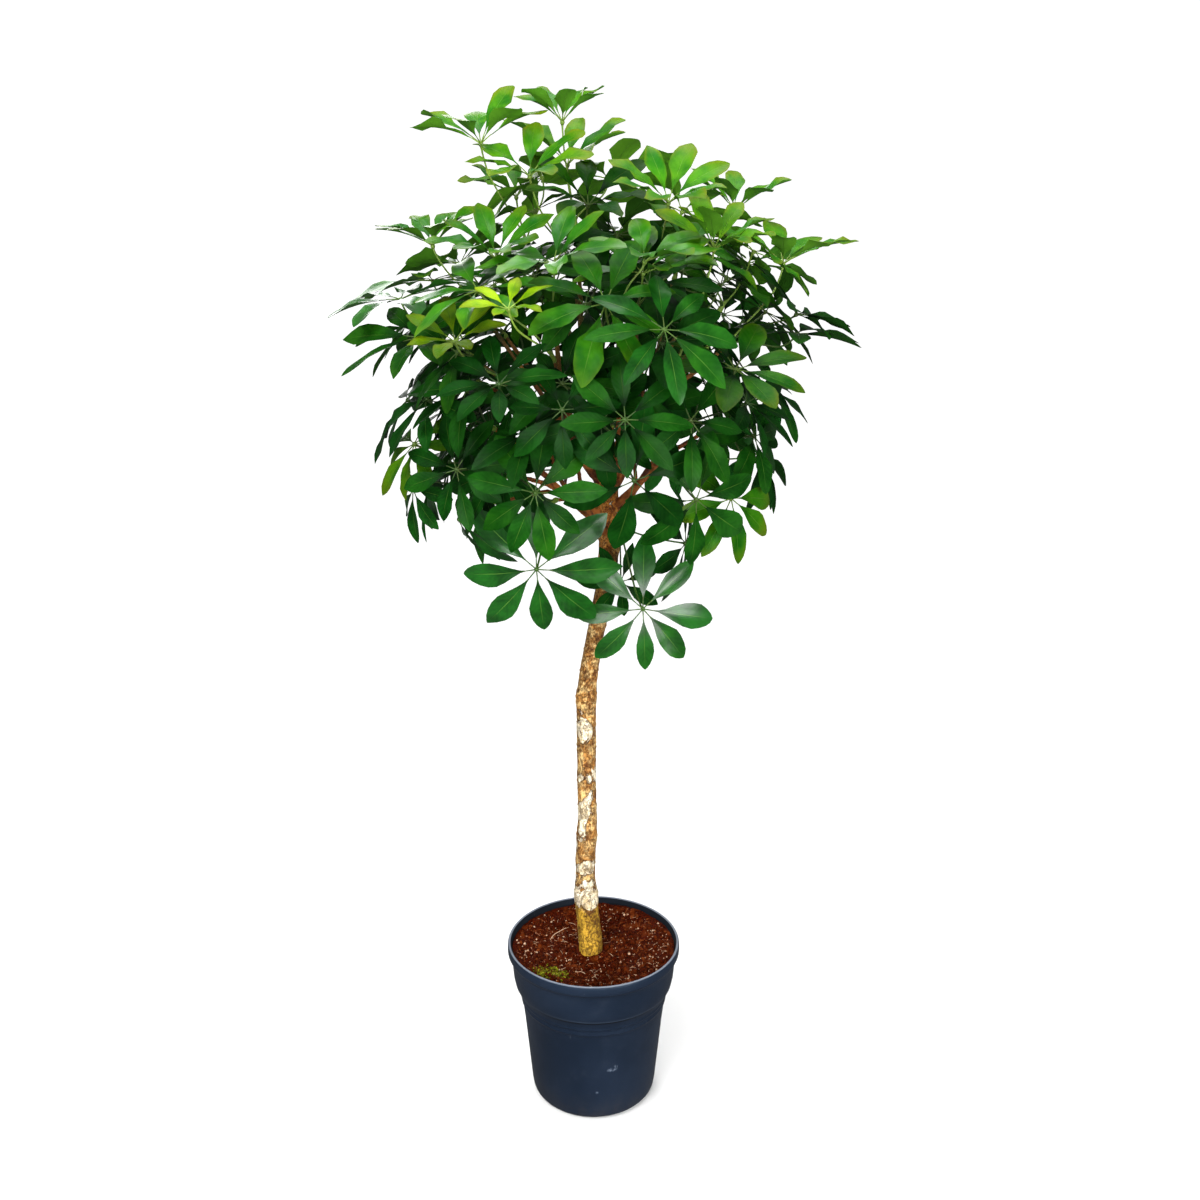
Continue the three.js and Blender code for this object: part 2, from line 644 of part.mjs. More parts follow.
// Tries to grow one leaf with its stalk, and claims its room only if enough leaflets are clear.
function growLeaf(shoot, [x, y, z, azimuth, elevation, reach, cup, count, turn], seed) {
  const hub = new THREE.Vector3(x, y, z);
  const frame = hubFrame(azimuth, elevation);
  for (const bow of BOWS) {
    const stalk = stalkCurve(shoot.bud, hub, frame.facing, bow);
    const stalkRoom = roomAlong(stalk, STALK_STEPS, STALK_ROOM, shoot);
    const atOwnBud = (point, other) =>
      (other.owner === shoot && !other.leaflet) || (other.owner === shoot.branch && point.from < BUD_REACH);
    if (!isClear(stalkRoom, atOwnBud)) {
      continue;
    }
    const leaflets = [];
    for (let i = 0; i < count; i += 1) {
      const wobble = LEAFLET_WOBBLE * (chance(seed + 7.3 * i) - 0.5);
      const angle = degrees(turn + wobble + (360 * i) / count);
      const length = reach * (LEAFLET_SHORTEST + LEAFLET_LENGTHS * chance(seed + 3.1 * i + 11));
      const leaflet = clearLeaflet(hub, frame, angle, cup, length);
      if (leaflet) {
        leaflets.push(leaflet);
      }
    }
    if (leaflets.length < Math.min(FEWEST_LEAFLETS, count)) {
      continue;
    }
    claim(stalkRoom);
    leaflets.forEach((leaflet) => claim(leafletRoom(leaflet)));
    shoot.leaves.push({ hub, facing: frame.facing, stalk, leaflets });
    return true;
  }
  return false;
}

// The first size and tilt at which a leaflet is clear of everything that has grown already.
function clearLeaflet(hub, frame, angle, cup, length) {
  for (const size of LEAFLET_SIZES) {
    for (const tilt of LEAFLET_TILTS) {
      const leaflet = makeLeaflet(hub, frame, angle, degrees(cup + tilt), length * size);
      if (isClear(leafletRoom(leaflet))) {
        return leaflet;
      }
    }
  }
  return null;
}

// How a leaf at this place in the crown faces: outwards low down, and more upwards higher up.
function leafHere(hub, seed) {
  const azimuth = THREE.MathUtils.radToDeg(Math.atan2(hub.x - CORE.x, -hub.y));
  const raised = hub.z - LEVEL_HEIGHT;
  const turned = THREE.MathUtils.clamp(TURN_PER_HEIGHT * raised, LOWEST_TURN, HIGHEST_TURN);
  const elevation = turned + TURN_SPREAD * (chance(seed) - 0.5);
  const reach = REACH_LEAST + REACH_SPREAD * chance(seed + 1);
  const cup = CUP_LEAST + CUP_PER_HEIGHT * raised;
  const count = LEAFLETS_LEAST + Math.floor(2 * chance(seed + 2));
  return [hub.x, hub.y, hub.z, azimuth, elevation, reach, cup, count, FIRST_ANGLE_SPREAD * chance(seed + 3)];
}

// Adds leaves to a shoot, spiralling round its axis, until it has as many as it should.
function fillShoot(shoot, wanted, seed) {
  const across = new THREE.Vector3().crossVectors(shoot.bud.axis, UP).normalize();
  for (let k = 0; k < STALK_TRIES && shoot.leaves.length < wanted; k += 1) {
    const direction = shoot.bud.axis.clone();
    direction.applyAxisAngle(across, degrees(STALK_RISE + STALK_RISE_STEP * (k % STALK_RISE_STEPS)));
    direction.applyAxisAngle(shoot.bud.axis, degrees(GOLDEN_TURN * k + 360 * chance(seed)));
    const length = STALK_REACH + STALK_REACH_SPREAD * (chance(seed + k) - STALK_SHORTER);
    const hub = shoot.bud.at.clone().addScaledVector(direction, length);
    const inEgg = hub.clone().sub(EGG_CENTRE).divide(EGG_RADII).length() < 1;
    const beforeStem = hub.y < 0 && hub.z < WINDOW_TOP && Math.abs(hub.x - CORE.x) < WINDOW_HALF_WIDTH;
    if (inEgg && !beforeStem) {
      growLeaf(shoot, leafHere(hub, seed + k), seed + 100 + k);
    }
  }
}

// A shoot is its growing tip with the stalks and whorls of its leaves, as one body.
function makeShoot({ bud, leaves }) {
  const tip = new THREE.CylinderGeometry(BUD_TIP_RADIUS, BUD_RADIUS, BUD_LENGTH, BUD_SIDES);
  tip.translate(0, BUD_LENGTH / 2 + SEAT, 0);
  tip.applyQuaternion(new THREE.Quaternion().setFromUnitVectors(new THREE.Vector3(0, 1, 0), bud.axis));
  tip.translate(bud.at.x, bud.at.y, bud.at.z);
  let shoot = solidOf(tip);
  for (const { hub, facing, stalk, leaflets } of leaves) {
    shoot = shoot.add(makeLeaf(hub, facing, stalk, leaflets));
  }
  return shoot;
}

// ---------------------------------------------------------------- growing the crown

// The bud that carries some hubs lies inside of them, on the way to the crown's core.
function budFor(middle, reach) {
  const inwards = CORE.clone().sub(middle).normalize();
  const at = middle.clone().addScaledVector(inwards, reach);
  const axis = inwards.negate().addScaledVector(UP, BUD_LIFT).normalize();
  return { at, axis };
}

const shoots = FRONT_SHOOTS.map(([branch, leaves]) => {
  const middle = new THREE.Vector3();
  leaves.forEach(([x, y, z]) => middle.add(new THREE.Vector3(x, y, z).divideScalar(leaves.length)));
  return { branch, bud: budFor(middle, STALK_REACH), wantedLeaves: leaves, leaves: [] };
});
for (let i = 0; i < BACK_SHOOTS; i += 1) {
  const share = (i + 0.5) / BACK_SHOOTS;
  const height = THREE.MathUtils.lerp(BACK_LOWEST, BACK_HIGHEST, share);
  const swing = BACK_SWING * (((i * GOLDEN_TURN) / 360) % 1) - BACK_SWING / 2;
  const level = (height - EGG_CENTRE.z) / EGG_RADII.z;
  const out = looking(180 - swing, 0).multiplyScalar(BACK_SPREAD * Math.sqrt(1 - level * level));
  const at = new THREE.Vector3(CORE.x + out.x, out.y, height);
  const axis = at.clone().sub(CORE).normalize().addScaledVector(UP, BUD_LIFT).normalize();
  const side = swing > 0 ? "right" : "left";
  const storey = share < BACK_LOW_SHARE ? "low" : "upper";
  shoots.push({ branch: `${storey}_back_${side}`, bud: { at, axis }, wantedLeaves: [], leaves: [] });
}

// Wood and buds first, then the leaves that have a place of their own, and last the ones between them.
claim(roomAlong(stemCurve, STEM_STEPS, STEM_ROOM, "stem"));
shoots.forEach((shoot) => {
  const end = shoot.bud.at.clone().addScaledVector(shoot.bud.axis, BUD_LENGTH);
  claim(roomAlong(new THREE.LineCurve3(shoot.bud.at, end), 1, TWIG_RADIUS + WOOD_ROOM, shoot));
});
const stemCutter = makeStem(SEAT);
const stem = makeStem(0);
const branches = Object.entries(BRANCHES).map(([name, { height, radius }]) => {
  const owners = shoots.filter((shoot) => shoot.branch === name);
  const curves = growBranch(name, height, radius, owners);
  return { name, solid: makeBranch(curves, radius, stemCutter) };
});
shoots.forEach((shoot, i) => {
  shoot.wantedLeaves.forEach((leaf, j) => growLeaf(shoot, leaf, 10 * i + j));
});
shoots.forEach((shoot, i) => {
  fillShoot(shoot, i < FRONT_SHOOTS.length ? FRONT_SHOOT_LEAVES : BACK_SHOOT_LEAVES, 500 + 50 * i);
});

// ---------------------------------------------------------------- the plant

const plant = new THREE.Group();
plant.add(named("pot", makePot(), potPlastic()));
plant.add(named("soil", makeSoil(stemCutter), peat()));
plant.add(named("stem", stem, bark()));
branches.forEach(({ name, solid }) => plant.add(named(`branch_${name}`, solid, greenwood())));
shoots.forEach((shoot, i) => {
  const number = String(i + 1).padStart(2, "0");
  plant.add(named(`shoot_${number}`, makeShoot(shoot), leafGreen()));
});

export default plant;
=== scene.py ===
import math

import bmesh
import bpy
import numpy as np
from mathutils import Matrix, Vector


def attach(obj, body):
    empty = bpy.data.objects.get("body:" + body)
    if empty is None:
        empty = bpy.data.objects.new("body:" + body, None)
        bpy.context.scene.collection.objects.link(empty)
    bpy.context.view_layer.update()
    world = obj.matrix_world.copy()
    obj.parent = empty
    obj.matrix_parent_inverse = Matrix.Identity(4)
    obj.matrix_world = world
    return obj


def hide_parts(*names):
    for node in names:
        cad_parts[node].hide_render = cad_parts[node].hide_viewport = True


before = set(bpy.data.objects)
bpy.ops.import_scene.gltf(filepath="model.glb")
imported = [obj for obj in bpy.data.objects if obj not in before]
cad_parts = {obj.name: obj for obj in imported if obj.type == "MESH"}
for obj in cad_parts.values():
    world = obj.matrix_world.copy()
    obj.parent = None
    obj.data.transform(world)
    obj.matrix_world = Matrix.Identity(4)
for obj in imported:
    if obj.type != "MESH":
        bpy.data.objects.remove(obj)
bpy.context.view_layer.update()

# Looks of the potted umbrella plant: whorls of leaflets on long stalks, a mottled stem, peat and a pot.
# Metres, in the frame of the CAD part; the tables of dimensions are in millimetres. Every piece stands
# for one CAD node. The stem, soil and pot follow the part's own dimensions, with bark, crumbs, ridges
# and rounded edges added. Branches and leafy shoots are worked out from the corners of their CAD nodes.

MM = 0.001

# -------- dimensions shared with the part

FOOT_RADIUS = 79
DRAIN_HOLES = 6
DRAIN_RADIUS = 5
DRAIN_CIRCLE = 52
DRAIN_FIRST = 30  # the first hole's angle in degrees from +X
NOTCH_ANGLES = (-38, 142)
NOTCH_SIZE = (14, 22, 7)  # length outwards, width, height
NOTCH_BITE = 2  # how far a notch reaches in from the foot
HUB_HALF_HEIGHT = 2.6
BUD_LENGTH = 12
BUD_RADIUS = 3.1
BUD_SIDES = 5
STALK_RADIUS = 1.4
STALK_SIDES = 3
STALK_STEPS = 4

# Stem: height, sideways place and radius, from below the soil to the fork.
STEM = np.array([
    (205, -4, 15.5), (240, -5, 15.6), (268, -8, 14.6), (282, -9, 14.8), (300, -10, 17.0),
    (316, -11, 13.4), (350, -11, 12.6), (372, -10, 12.6), (388, -9, 13.9), (402, -8.5, 12.5),
    (420, -8, 12.2), (480, -9, 11.8), (545, -9, 12.2), (574, -9, 12.2), (590, -9, 13.7),
    (604, -8, 11.8), (650, -2, 10.8), (700, 8, 10.9), (745, 16, 11.3), (790, 21, 12.4),
    (835, 20, 13.6), (875, 16, 14.6), (900, 14, 12.5), (906, 14, 5.0),
])


def link(made):
    """Puts a new object into the scene."""
    bpy.context.scene.collection.objects.link(made)
    return made


# -------- camera

camera = link(bpy.data.objects.new("camera", bpy.data.cameras.new("camera")))
camera.data.lens = 36
camera.data.sensor_width = 36
camera.location = (0.0091, -1.492, 1.137)
camera.rotation_euler = (math.radians(90 - 15.52), 0, 0)
bpy.context.scene.camera = camera
bpy.context.scene.view_settings.view_transform = "Standard"

# -------- shader maths


class Value:
    """A shader socket holding a number. Sums, products and comparisons with it add Math nodes."""

    def __init__(self, finish, socket):
        self.finish = finish
        self.socket = socket

    def math(self, operation, *others, swap=False):
        terms = (self, *others)
        terms = terms[::-1] if swap else terms
        node = self.finish.node("ShaderNodeMath", dict(enumerate(terms)), {"operation": operation})
        return Value(self.finish, node.outputs[0])

    __add__ = __radd__ = lambda self, other: self.math("ADD", other)
    __mul__ = __rmul__ = lambda self, other: self.math("MULTIPLY", other)
    __sub__ = lambda self, other: self.math("SUBTRACT", other)
    __rsub__ = lambda self, other: self.math("SUBTRACT", other, swap=True)
    __truediv__ = lambda self, other: self.math("DIVIDE", other)
    __gt__ = lambda self, other: self.math("GREATER_THAN", other)
    __abs__ = lambda self: self.math("ABSOLUTE")
    sine = lambda self: self.math("SINE")

    def step(self, low, high):
        """0 below low, 1 above high and smooth between them; high may be the lower of the two."""
        inputs = {"Value": self, "From Min": low, "From Max": high}
        node = self.finish.node("ShaderNodeMapRange", inputs, {"interpolation_type": "SMOOTHSTEP"})
        return Value(self.finish, node.outputs["Result"])


class Finish:
    """A procedural material: a Principled shader with its constant sockets set, and nodes added to it."""

    def __init__(self, name, **constants):
        self.material = bpy.data.materials.new(name)
        self.material.use_nodes = True
        self.tree = self.material.node_tree
        self.shader = next(n for n in self.tree.nodes if n.type == "BSDF_PRINCIPLED")
        self.wear(**constants)

    def fill(self, node, inputs):
        """Sets a node's sockets to plain values or links them to other sockets."""
        for key, value in inputs.items():
            value = value.socket if isinstance(value, Value) else value
            if isinstance(value, bpy.types.NodeSocket):
                self.tree.links.new(value, node.inputs[key])
            else:
                node.inputs[key].default_value = value

    def node(self, kind, inputs=None, settings=None):
        """Adds a node of a kind, makes its settings and then fills its sockets."""
        made = self.tree.nodes.new(kind)
        for name, value in (settings or {}).items():
            setattr(made, name, value)
        self.fill(made, inputs or {})
        return made

    def place(self):
        return self.node("ShaderNodeTexCoord").outputs["Object"]

    def stretched(self, scale):
        """Object coordinates scaled differently along each axis."""
        return self.node("ShaderNodeMapping", {"Vector": self.place(), "Scale": scale}).outputs[0]

    def axis(self, name, where=None):
        """One of the coordinates X, Y and Z, of the object unless another place is given."""
        return Value(self, self.node("ShaderNodeSeparateXYZ", {0: where or self.place()}).outputs[name])

    def length(self, vector):
        node = self.node("ShaderNodeVectorMath", {0: vector}, {"operation": "LENGTH"})
        return Value(self, node.outputs["Value"])

    def noise(self, scale, detail=3.0, where=None, roughness=0.5, distortion=0.0):
        inputs = {
            "Vector": where or self.place(), "Scale": scale, "Detail": detail,
            "Roughness": roughness, "Distortion": distortion,
        }
        return Value(self, self.node("ShaderNodeTexNoise", inputs).outputs[0])

    def cells(self, scale):
        inputs = {"Vector": self.place(), "Scale": scale}
        return Value(self, self.node("ShaderNodeTexVoronoi", inputs).outputs["Distance"])

    def attribute(self, name):
        return Value(self, self.node("ShaderNodeAttribute", None, {"attribute_name": name}).outputs["Fac"])

    def mix(self, share, *colours):
        """A colour between two colours by a share from 0 to 1."""
        low, high = ((*colour, 1) if isinstance(colour, tuple) else colour for colour in colours)
        inputs = {0: share, 6: low, 7: high}
        return self.node("ShaderNodeMix", inputs, {"data_type": "RGBA"}).outputs[2]

    def wear(self, **sockets):
        """Fills the shader's own sockets."""
        self.fill(self.shader, {name.replace("_", " "): value for name, value in sockets.items()})

    def relief(self, height, depth):
        """Turns a height from 0 to 1 into a bump of a depth in metres."""
        bump = self.node("ShaderNodeBump", {"Height": height, "Distance": depth, "Strength": 1.0})
        self.wear(Normal=bump.outputs[0])


def leaf_blade_finish():
    """Leaflets: youth runs from dark old to lime young, and the light share from deep shade to open light.
    A low light share and the foot of an older leaflet darken the colour: painted shade. The underside is
    paler and duller, the midrib pale. The wax is a coat, thin on shaded and young leaves."""
    made = Finish("leaf_blade", Specular_IOR_Level=0.05, Coat_Roughness=0.28, Coat_IOR=1.45)
    youth = made.attribute("youth")
    tone = made.attribute("tone")
    surface = made.node("ShaderNodeUVMap").outputs[0]
    place = made.axis("X", surface)
    along = made.axis("Y", surface)
    under = place > 1.5
    across = abs((place - 2 * under) * 2 - 1)
    veins = ((along * 58 - across * 12).sine() * 0.5 + 0.5) * across.step(0.03, 0.2)
    midrib = across.step(0.055, 0.012) * along.step(1.05, 0.4)
    mottle = made.noise(42, 4)
    mottled = mottle.step(0.3, 0.7)
    old = made.mix(mottled, (0.0010, 0.034, 0.0012), (0.0075, 0.098, 0.0060))
    grown = made.mix(mottled, (0.0070, 0.108, 0.0006), (0.046, 0.215, 0.0025))
    young = made.mix(mottled, (0.10, 0.25, 0.001), (0.28, 0.43, 0.003))
    top = made.mix(youth.step(0.0, 0.5), old, grown)
    top = made.mix(youth.step(0.45, 1.0), top, young)
    top = made.mix(veins * 0.05, top, (0.05, 0.28, 0.02))
    rim = along.step(0.45, 1.0) * 0.55 + across.step(0.5, 1.0) * 0.35 + (mottle - 0.5) * 0.8
    top = made.mix(rim.step(0.1, 0.9) * youth.step(0.2, 0.55) * 0.8, top, (0.135, 0.165, 0.004))
    below = made.mix(youth, (0.016, 0.15, 0.018), (0.17, 0.42, 0.02))
    colour = made.mix(under, top, below)
    colour = made.mix(midrib * 0.45, colour, (0.14, 0.34, 0.04))
    # painted shade: the colour falls towards near-black green where the light share is low, and near the foot
    # of older leaflets
    shaded = (1 - tone) * 0.93 + along.step(0.45, 0.0) * youth.step(0.8, 0.3) * 0.4
    colour = made.mix(shaded, colour, (0.0002, 0.0085, 0.0001))
    made.wear(Base_Color=colour, Roughness=0.42 + under * 0.2 + made.noise(160, 2) * 0.14)
    made.wear(Coat_Weight=tone.step(0.5, 0.9) * youth.step(0.6, 0.1) * (0.8 - under * 0.6) + 0.02)
    made.relief(midrib * -0.6 + veins * 0.12 + made.noise(230, 2) * 0.10, 0.0007)
    return made.material


def stalk_finish():
    """Stalks and growing tips: yellow-green, browner where they are old, with fine lengthwise streaks and
    painted shade where the light share is low.
    """
    made = Finish("leaf_stalk", Specular_IOR_Level=0.3)
    youth = made.attribute("youth")
    tone = made.attribute("tone")
    streak = made.noise(90, 3, made.stretched((1, 1, 0.2)))
    green = made.mix(youth, (0.022, 0.080, 0.010), (0.30, 0.46, 0.06))
    colour = made.mix(streak.step(0.45, 0.75) * 0.5, green, (0.10, 0.085, 0.02))
    # painted shade: darker green where the light share is low
    colour = made.mix((1 - tone) * 0.8, colour, (0.006, 0.020, 0.003))
    made.wear(Base_Color=colour, Roughness=0.42 + streak * 0.2)
    made.relief(streak, 0.0004)
    return made.material


def greenwood_finish():
    """Branches: red-brown bark near the stem, olive towards the shoots, with leaf scars and pores."""
    made = Finish("branch_bark", Specular_IOR_Level=0.3)
    patches = made.noise(38, 5)
    pores = made.cells(420)
    colour = made.mix(patches.step(0.35, 0.7), (0.08, 0.018, 0.003), (0.42, 0.13, 0.024))
    colour = made.mix(made.axis("Z").step(0.93, 1.10) * 0.85, colour, (0.035, 0.055, 0.010))
    colour = made.mix(pores.step(0.25, 0.05) * 0.5, colour, (0.30, 0.17, 0.06))
    made.wear(Base_Color=colour, Roughness=0.62 + patches * 0.2)
    made.relief(patches * 0.7 + pores * 0.3, 0.0016)
    return made.material


# Heights round which the stem is mostly cream, and how far above and below, in metres.
PALE_RINGS = ((0.300, 0.013), (0.346, 0.010), (0.433, 0.018), (0.480, 0.012), (0.545, 0.024))


def bark_finish():
    """Stem: tan and rust bark with cream patches ringed by dark cracks, an ochre foot and a red top."""
    made = Finish("stem_bark", Specular_IOR_Level=0.25)
    height = made.axis("Z")
    broad = made.noise(30, 5, made.stretched((1, 1, 0.62)), 0.6, 0.9)
    blotch = made.noise(80, 4, roughness=0.6)
    fine = made.noise(260, 4, roughness=0.7)
    cracks = made.noise(110, 4, made.stretched((1, 1, 0.5)), 0.7, 1.4)
    grain = (fine * 0.55 + made.noise(95, 4, made.stretched((1, 1, 0.45)), 0.6) * 0.45).step(0.40, 0.58)
    tan = made.mix(grain, (0.22, 0.095, 0.020), (0.76, 0.51, 0.20))
    rust = made.mix(grain, (0.13, 0.042, 0.007), (0.50, 0.235, 0.055))
    ochre = made.mix(grain, (0.14, 0.060, 0.002), (0.54, 0.31, 0.026))
    red = made.mix(grain, (0.16, 0.032, 0.004), (0.74, 0.27, 0.045))
    colour = made.mix(blotch.step(0.44, 0.54), tan, rust)
    colour = made.mix((height + (broad - 0.5) * 0.06).step(0.293, 0.281), colour, ochre)
    colour = made.mix((height + (broad - 0.5) * 0.20).step(0.70, 0.86) * 0.9, colour, red)
    share = height.step(0.68, 0.34) * 0.06 - 0.045
    for middle, reach in PALE_RINGS:
        share = share + abs(height - middle).step(reach * 1.5, 0) * 0.12
    pale = (broad + share) * height.step(0.270, 0.287)
    cream = pale.step(0.575, 0.595) * fine.step(0.22, 0.36)
    colour = made.mix(cream * 0.93, colour, made.mix(grain, (0.55, 0.42, 0.23), (0.95, 0.85, 0.64)))
    edge = abs(pale - 0.58).step(0.022, 0.004)
    dark = abs(cracks - 0.5).step(0.038, 0.008)
    colour = made.mix(edge * 0.6 + dark * 0.7, colour, (0.075, 0.028, 0.008))
    made.wear(Base_Color=colour, Roughness=0.66 + fine * 0.25)
    made.relief(broad * 0.3 + fine * 0.35 + cream * 0.2 - dark * 0.5 - edge * 0.3, 0.0026)
    return made.material


# The band's lower edge carries a painted highlight, and the line under it a painted shadow.
BAND_EDGE = 0.1712  # height of the lower edge of the pot's band, in metres
BAND_SHADOW = 0.1677  # height of the dark line under it
# Pale scuffs on the pot's front: sideways place, height, half width and half height in metres.
POT_SCUFFS = (
    (0.0245, 0.0850, 0.0070, 0.0042), (0.0300, 0.0880, 0.0040, 0.0060), (0.0050, 0.0480, 0.0024, 0.0028),
)


def pot_finish():
    """Pot: blue-black moulded plastic with faint swirls, dusty patches, pale scuffs, a pale lip that is
    partly rubbed and partly a painted highlight, a painted highlight and a painted shadow at the band's lower
    edge, and painted shade on the inner wall.
    """
    made = Finish("pot_plastic", Specular_IOR_Level=0.22, Specular_Tint=(0.62, 0.78, 1.0, 1))
    height = made.axis("Z")
    # the inner wall above the peat, which gets painted shade below
    inner_radius = height * 0.11 + 0.0908
    inside = (inner_radius - made.length(made.stretched((1, 1, 0)))).step(0.0, 0.0004)
    inside = inside * height.step(0.185, 0.190)
    cloud = made.noise(9, 4)
    dust = made.noise(46, 6, roughness=0.7)
    grain = made.noise(900, 2)
    scratch = made.noise(70, 4, made.stretched((1.0, 1.0, 0.16)), 0.75, 0.4)
    colour = made.mix(cloud.step(0.35, 0.65), (0.0050, 0.0098, 0.0205), (0.0092, 0.0160, 0.0310))
    colour = made.mix(dust.step(0.5, 0.85) * 0.3, colour, (0.028, 0.036, 0.052))
    foot = height.step(0.05, 0.0) * dust.step(0.3, 0.7)
    colour = made.mix(foot * 0.3, colour, (0.05, 0.042, 0.035))
    colour = made.mix(scratch.step(0.67, 0.74) * 0.35, colour, (0.12, 0.135, 0.16))
    # painted highlight: a paler line along the band's lower edge
    edge = abs(height - BAND_EDGE).step(0.0014, 0.0004)
    colour = made.mix(edge * 0.4, colour, (0.040, 0.055, 0.080))
    shadow = abs(height - BAND_SHADOW).step(0.0024, 0.0012)
    colour = made.mix(shadow * 0.95, colour, (0.0006, 0.0008, 0.0012))
    # pale lip: partly rubbed wear, partly a painted highlight along the rim
    lip = height.step(0.2293, 0.2307)
    colour = made.mix(lip * 0.7, colour, (0.24, 0.27, 0.32))
    scuffs = 0
    before = made.axis("Y") * -1 > 0
    for x, z, wide, tall in POT_SCUFFS:
        beside = (made.axis("X") - x) / wide
        above = (height - z) / tall
        scuffs = (beside * beside + above * above).step(1.0, 0.1) * before + scuffs
    worn = made.noise(420, 5, made.stretched((1, 1, 0.5)), 0.8).step(0.46, 0.62)
    colour = made.mix(scuffs * worn * 0.6, colour, (0.22, 0.27, 0.36))
    # painted shade: the inner wall above the peat is mixed towards near-black
    colour = made.mix(inside * 0.8, colour, (0.004, 0.0045, 0.005))
    made.wear(Base_Color=colour, Roughness=0.38 + dust * 0.2 + lip * 0.1 + inside * 0.35)
    made.relief(grain * 0.25 + cloud * 0.75, 0.0006)
    return made.material


def peat_finish():
    """Peat, crumbs, fibres and moss: the grit and moss attributes say which, and grain varies each."""
    made = Finish("peat", Specular_IOR_Level=0.03)
    grit = made.attribute("grit")
    moss = made.attribute("moss")
    damp = made.noise(60, 5)
    fine = made.noise(520, 4, roughness=0.7)
    colour = made.mix(fine.step(0.35, 0.7), (0.004, 0.0005, 0.0001), (0.092, 0.0090, 0.0004))
    colour = made.mix(damp.step(0.52, 0.75) * 0.6, colour, (0.18, 0.034, 0.004))
    crumb = made.mix(fine, (0.09, 0.018, 0.003), (0.25, 0.062, 0.016))
    chip = made.mix(fine, (0.44, 0.25, 0.14), (0.82, 0.60, 0.42))
    green = made.mix(fine.step(0.4, 0.7) * moss, (0.016, 0.020, 0.001), (0.70, 0.74, 0.04))
    colour = made.mix(grit.step(0.0, 0.5), colour, crumb)
    colour = made.mix(grit.step(0.5, 1.0), colour, chip)
    colour = made.mix(moss, colour, green)
    made.wear(Base_Color=colour, Roughness=0.62 + fine * 0.3)
    made.relief(fine * 0.6 + damp * 0.4, 0.0014)
    return made.material


def floor_finish():
    """Studio floor: near-white with a trace of unevenness, glowing a little far from the plant."""
    made = Finish("studio_floor", Specular_IOR_Level=0.2, Emission_Strength=1.0)
    haze = made.noise(0.8, 2)
    pale = made.mix(haze, (0.84, 0.84, 0.84), (0.87, 0.87, 0.86))
    glow = made.mix(made.length(made.place()).step(1.0, 4.0), (0.05, 0.05, 0.05), (0.70, 0.70, 0.70))
    made.wear(Base_Color=pale, Roughness=0.75 + haze * 0.1, Emission_Color=glow)
    return made.material


# -------- shapes


def smooth(low, high, value):
    """Smoothstep: 3s squared - 2s cubed of the clamped share s of the way from low to high."""
    share = np.clip((value - low) / (high - low), 0, 1)
    return share * share * (3 - 2 * share)


def unit(vectors):
    return vectors / np.linalg.norm(vectors, axis=-1, keepdims=True)


def dot(first, second):
    return np.sum(first * second, axis=-1, keepdims=True)


def turned(profile, turns):
    """Points of a [radius, height] profile turned round the axis: radius cos a, radius sin a, height."""
    turn = np.arange(turns) * 2 * np.pi / turns
    height = np.broadcast_to(profile[:, 1:], (len(profile), turns))
    return np.stack([profile[:, :1] * np.cos(turn), profile[:, :1] * np.sin(turn), height], -1)


NOISE_TABLE = 4096


def lumps(points, size, seed):
    """Value noise from -1 to 1: random numbers at a lattice's corners, blended smoothly between them."""
    cell = points / size + 1000.0
    corner = np.floor(cell).astype(np.int64)
    share = cell - corner
    share = share * share * (3 - 2 * share)
    table = np.random.default_rng(seed).uniform(-1, 1, NOISE_TABLE)
    total = 0
    for step in np.ndindex(2, 2, 2):
        at = corner + step
        key = at[..., 0] * 73856093 ^ at[..., 1] * 19349663 ^ at[..., 2] * 83492791
        weight = np.prod(np.where(step, share, 1 - share), axis=-1)
        total = total + weight * table[key % NOISE_TABLE]
    return total


SHARP = math.radians(80)  # edges that turn further are creased: a blade's rim, a tube's ends


class Shape:
    """Collects closed surfaces as whole arrays and makes them one mesh object."""

    def __init__(self, *attributes):
        self.points, self.faces, self.corners, self.fills = [], [], [], []
        self.values = {name: [] for name in attributes}
        self.count = 0

    def add(self, points, faces, uv=None, fill=0, **values):
        """Adds points of shape (..., 3) with a list of index arrays, one array per number of sides."""
        points = points.reshape(-1, 3)
        self.points.append(points)
        for face in faces:
            self.faces.extend((face + self.count).tolist())
            self.fills.append(np.full(len(face), fill))
            flat = face.ravel()
            self.corners.append(np.zeros((len(flat), 2)) if uv is None else uv[flat])
        for name, kept in self.values.items():
            kept.append(np.broadcast_to(values.get(name, 0.0), len(points)))
        self.count += len(points)

    def piece(self, name, slot, node, *materials):
        """Makes the object, smooth-shaded, riding on the root and standing for a CAD node."""
        mesh = bpy.data.meshes.new(name)
        mesh.from_pydata(np.concatenate(self.points), [], self.faces)
        mesh.polygons.foreach_set("material_index", np.concatenate(self.fills).astype(np.int32))
        mesh.uv_layers.new(name="surface").uv.foreach_set("vector", np.concatenate(self.corners).ravel())
        for key, kept in self.values.items():
            mesh.attributes.new(key, "FLOAT", "POINT").data.foreach_set("value", np.concatenate(kept))
        mesh.validate()
        mesh.shade_smooth()
        mesh.set_sharp_from_angle(angle=SHARP)
        mesh.update()
        return stand_in(bpy.data.objects.new(name, mesh), slot, node, *materials)


def stand_in(piece, slot, node, *materials):
    """Gives a piece its materials, puts it in the scene on the root and hides the CAD node it stands for."""
    for material in materials:
        piece.data.materials.append(material)
    link(piece)
    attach(piece, "root")
    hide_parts(node)
    return piece


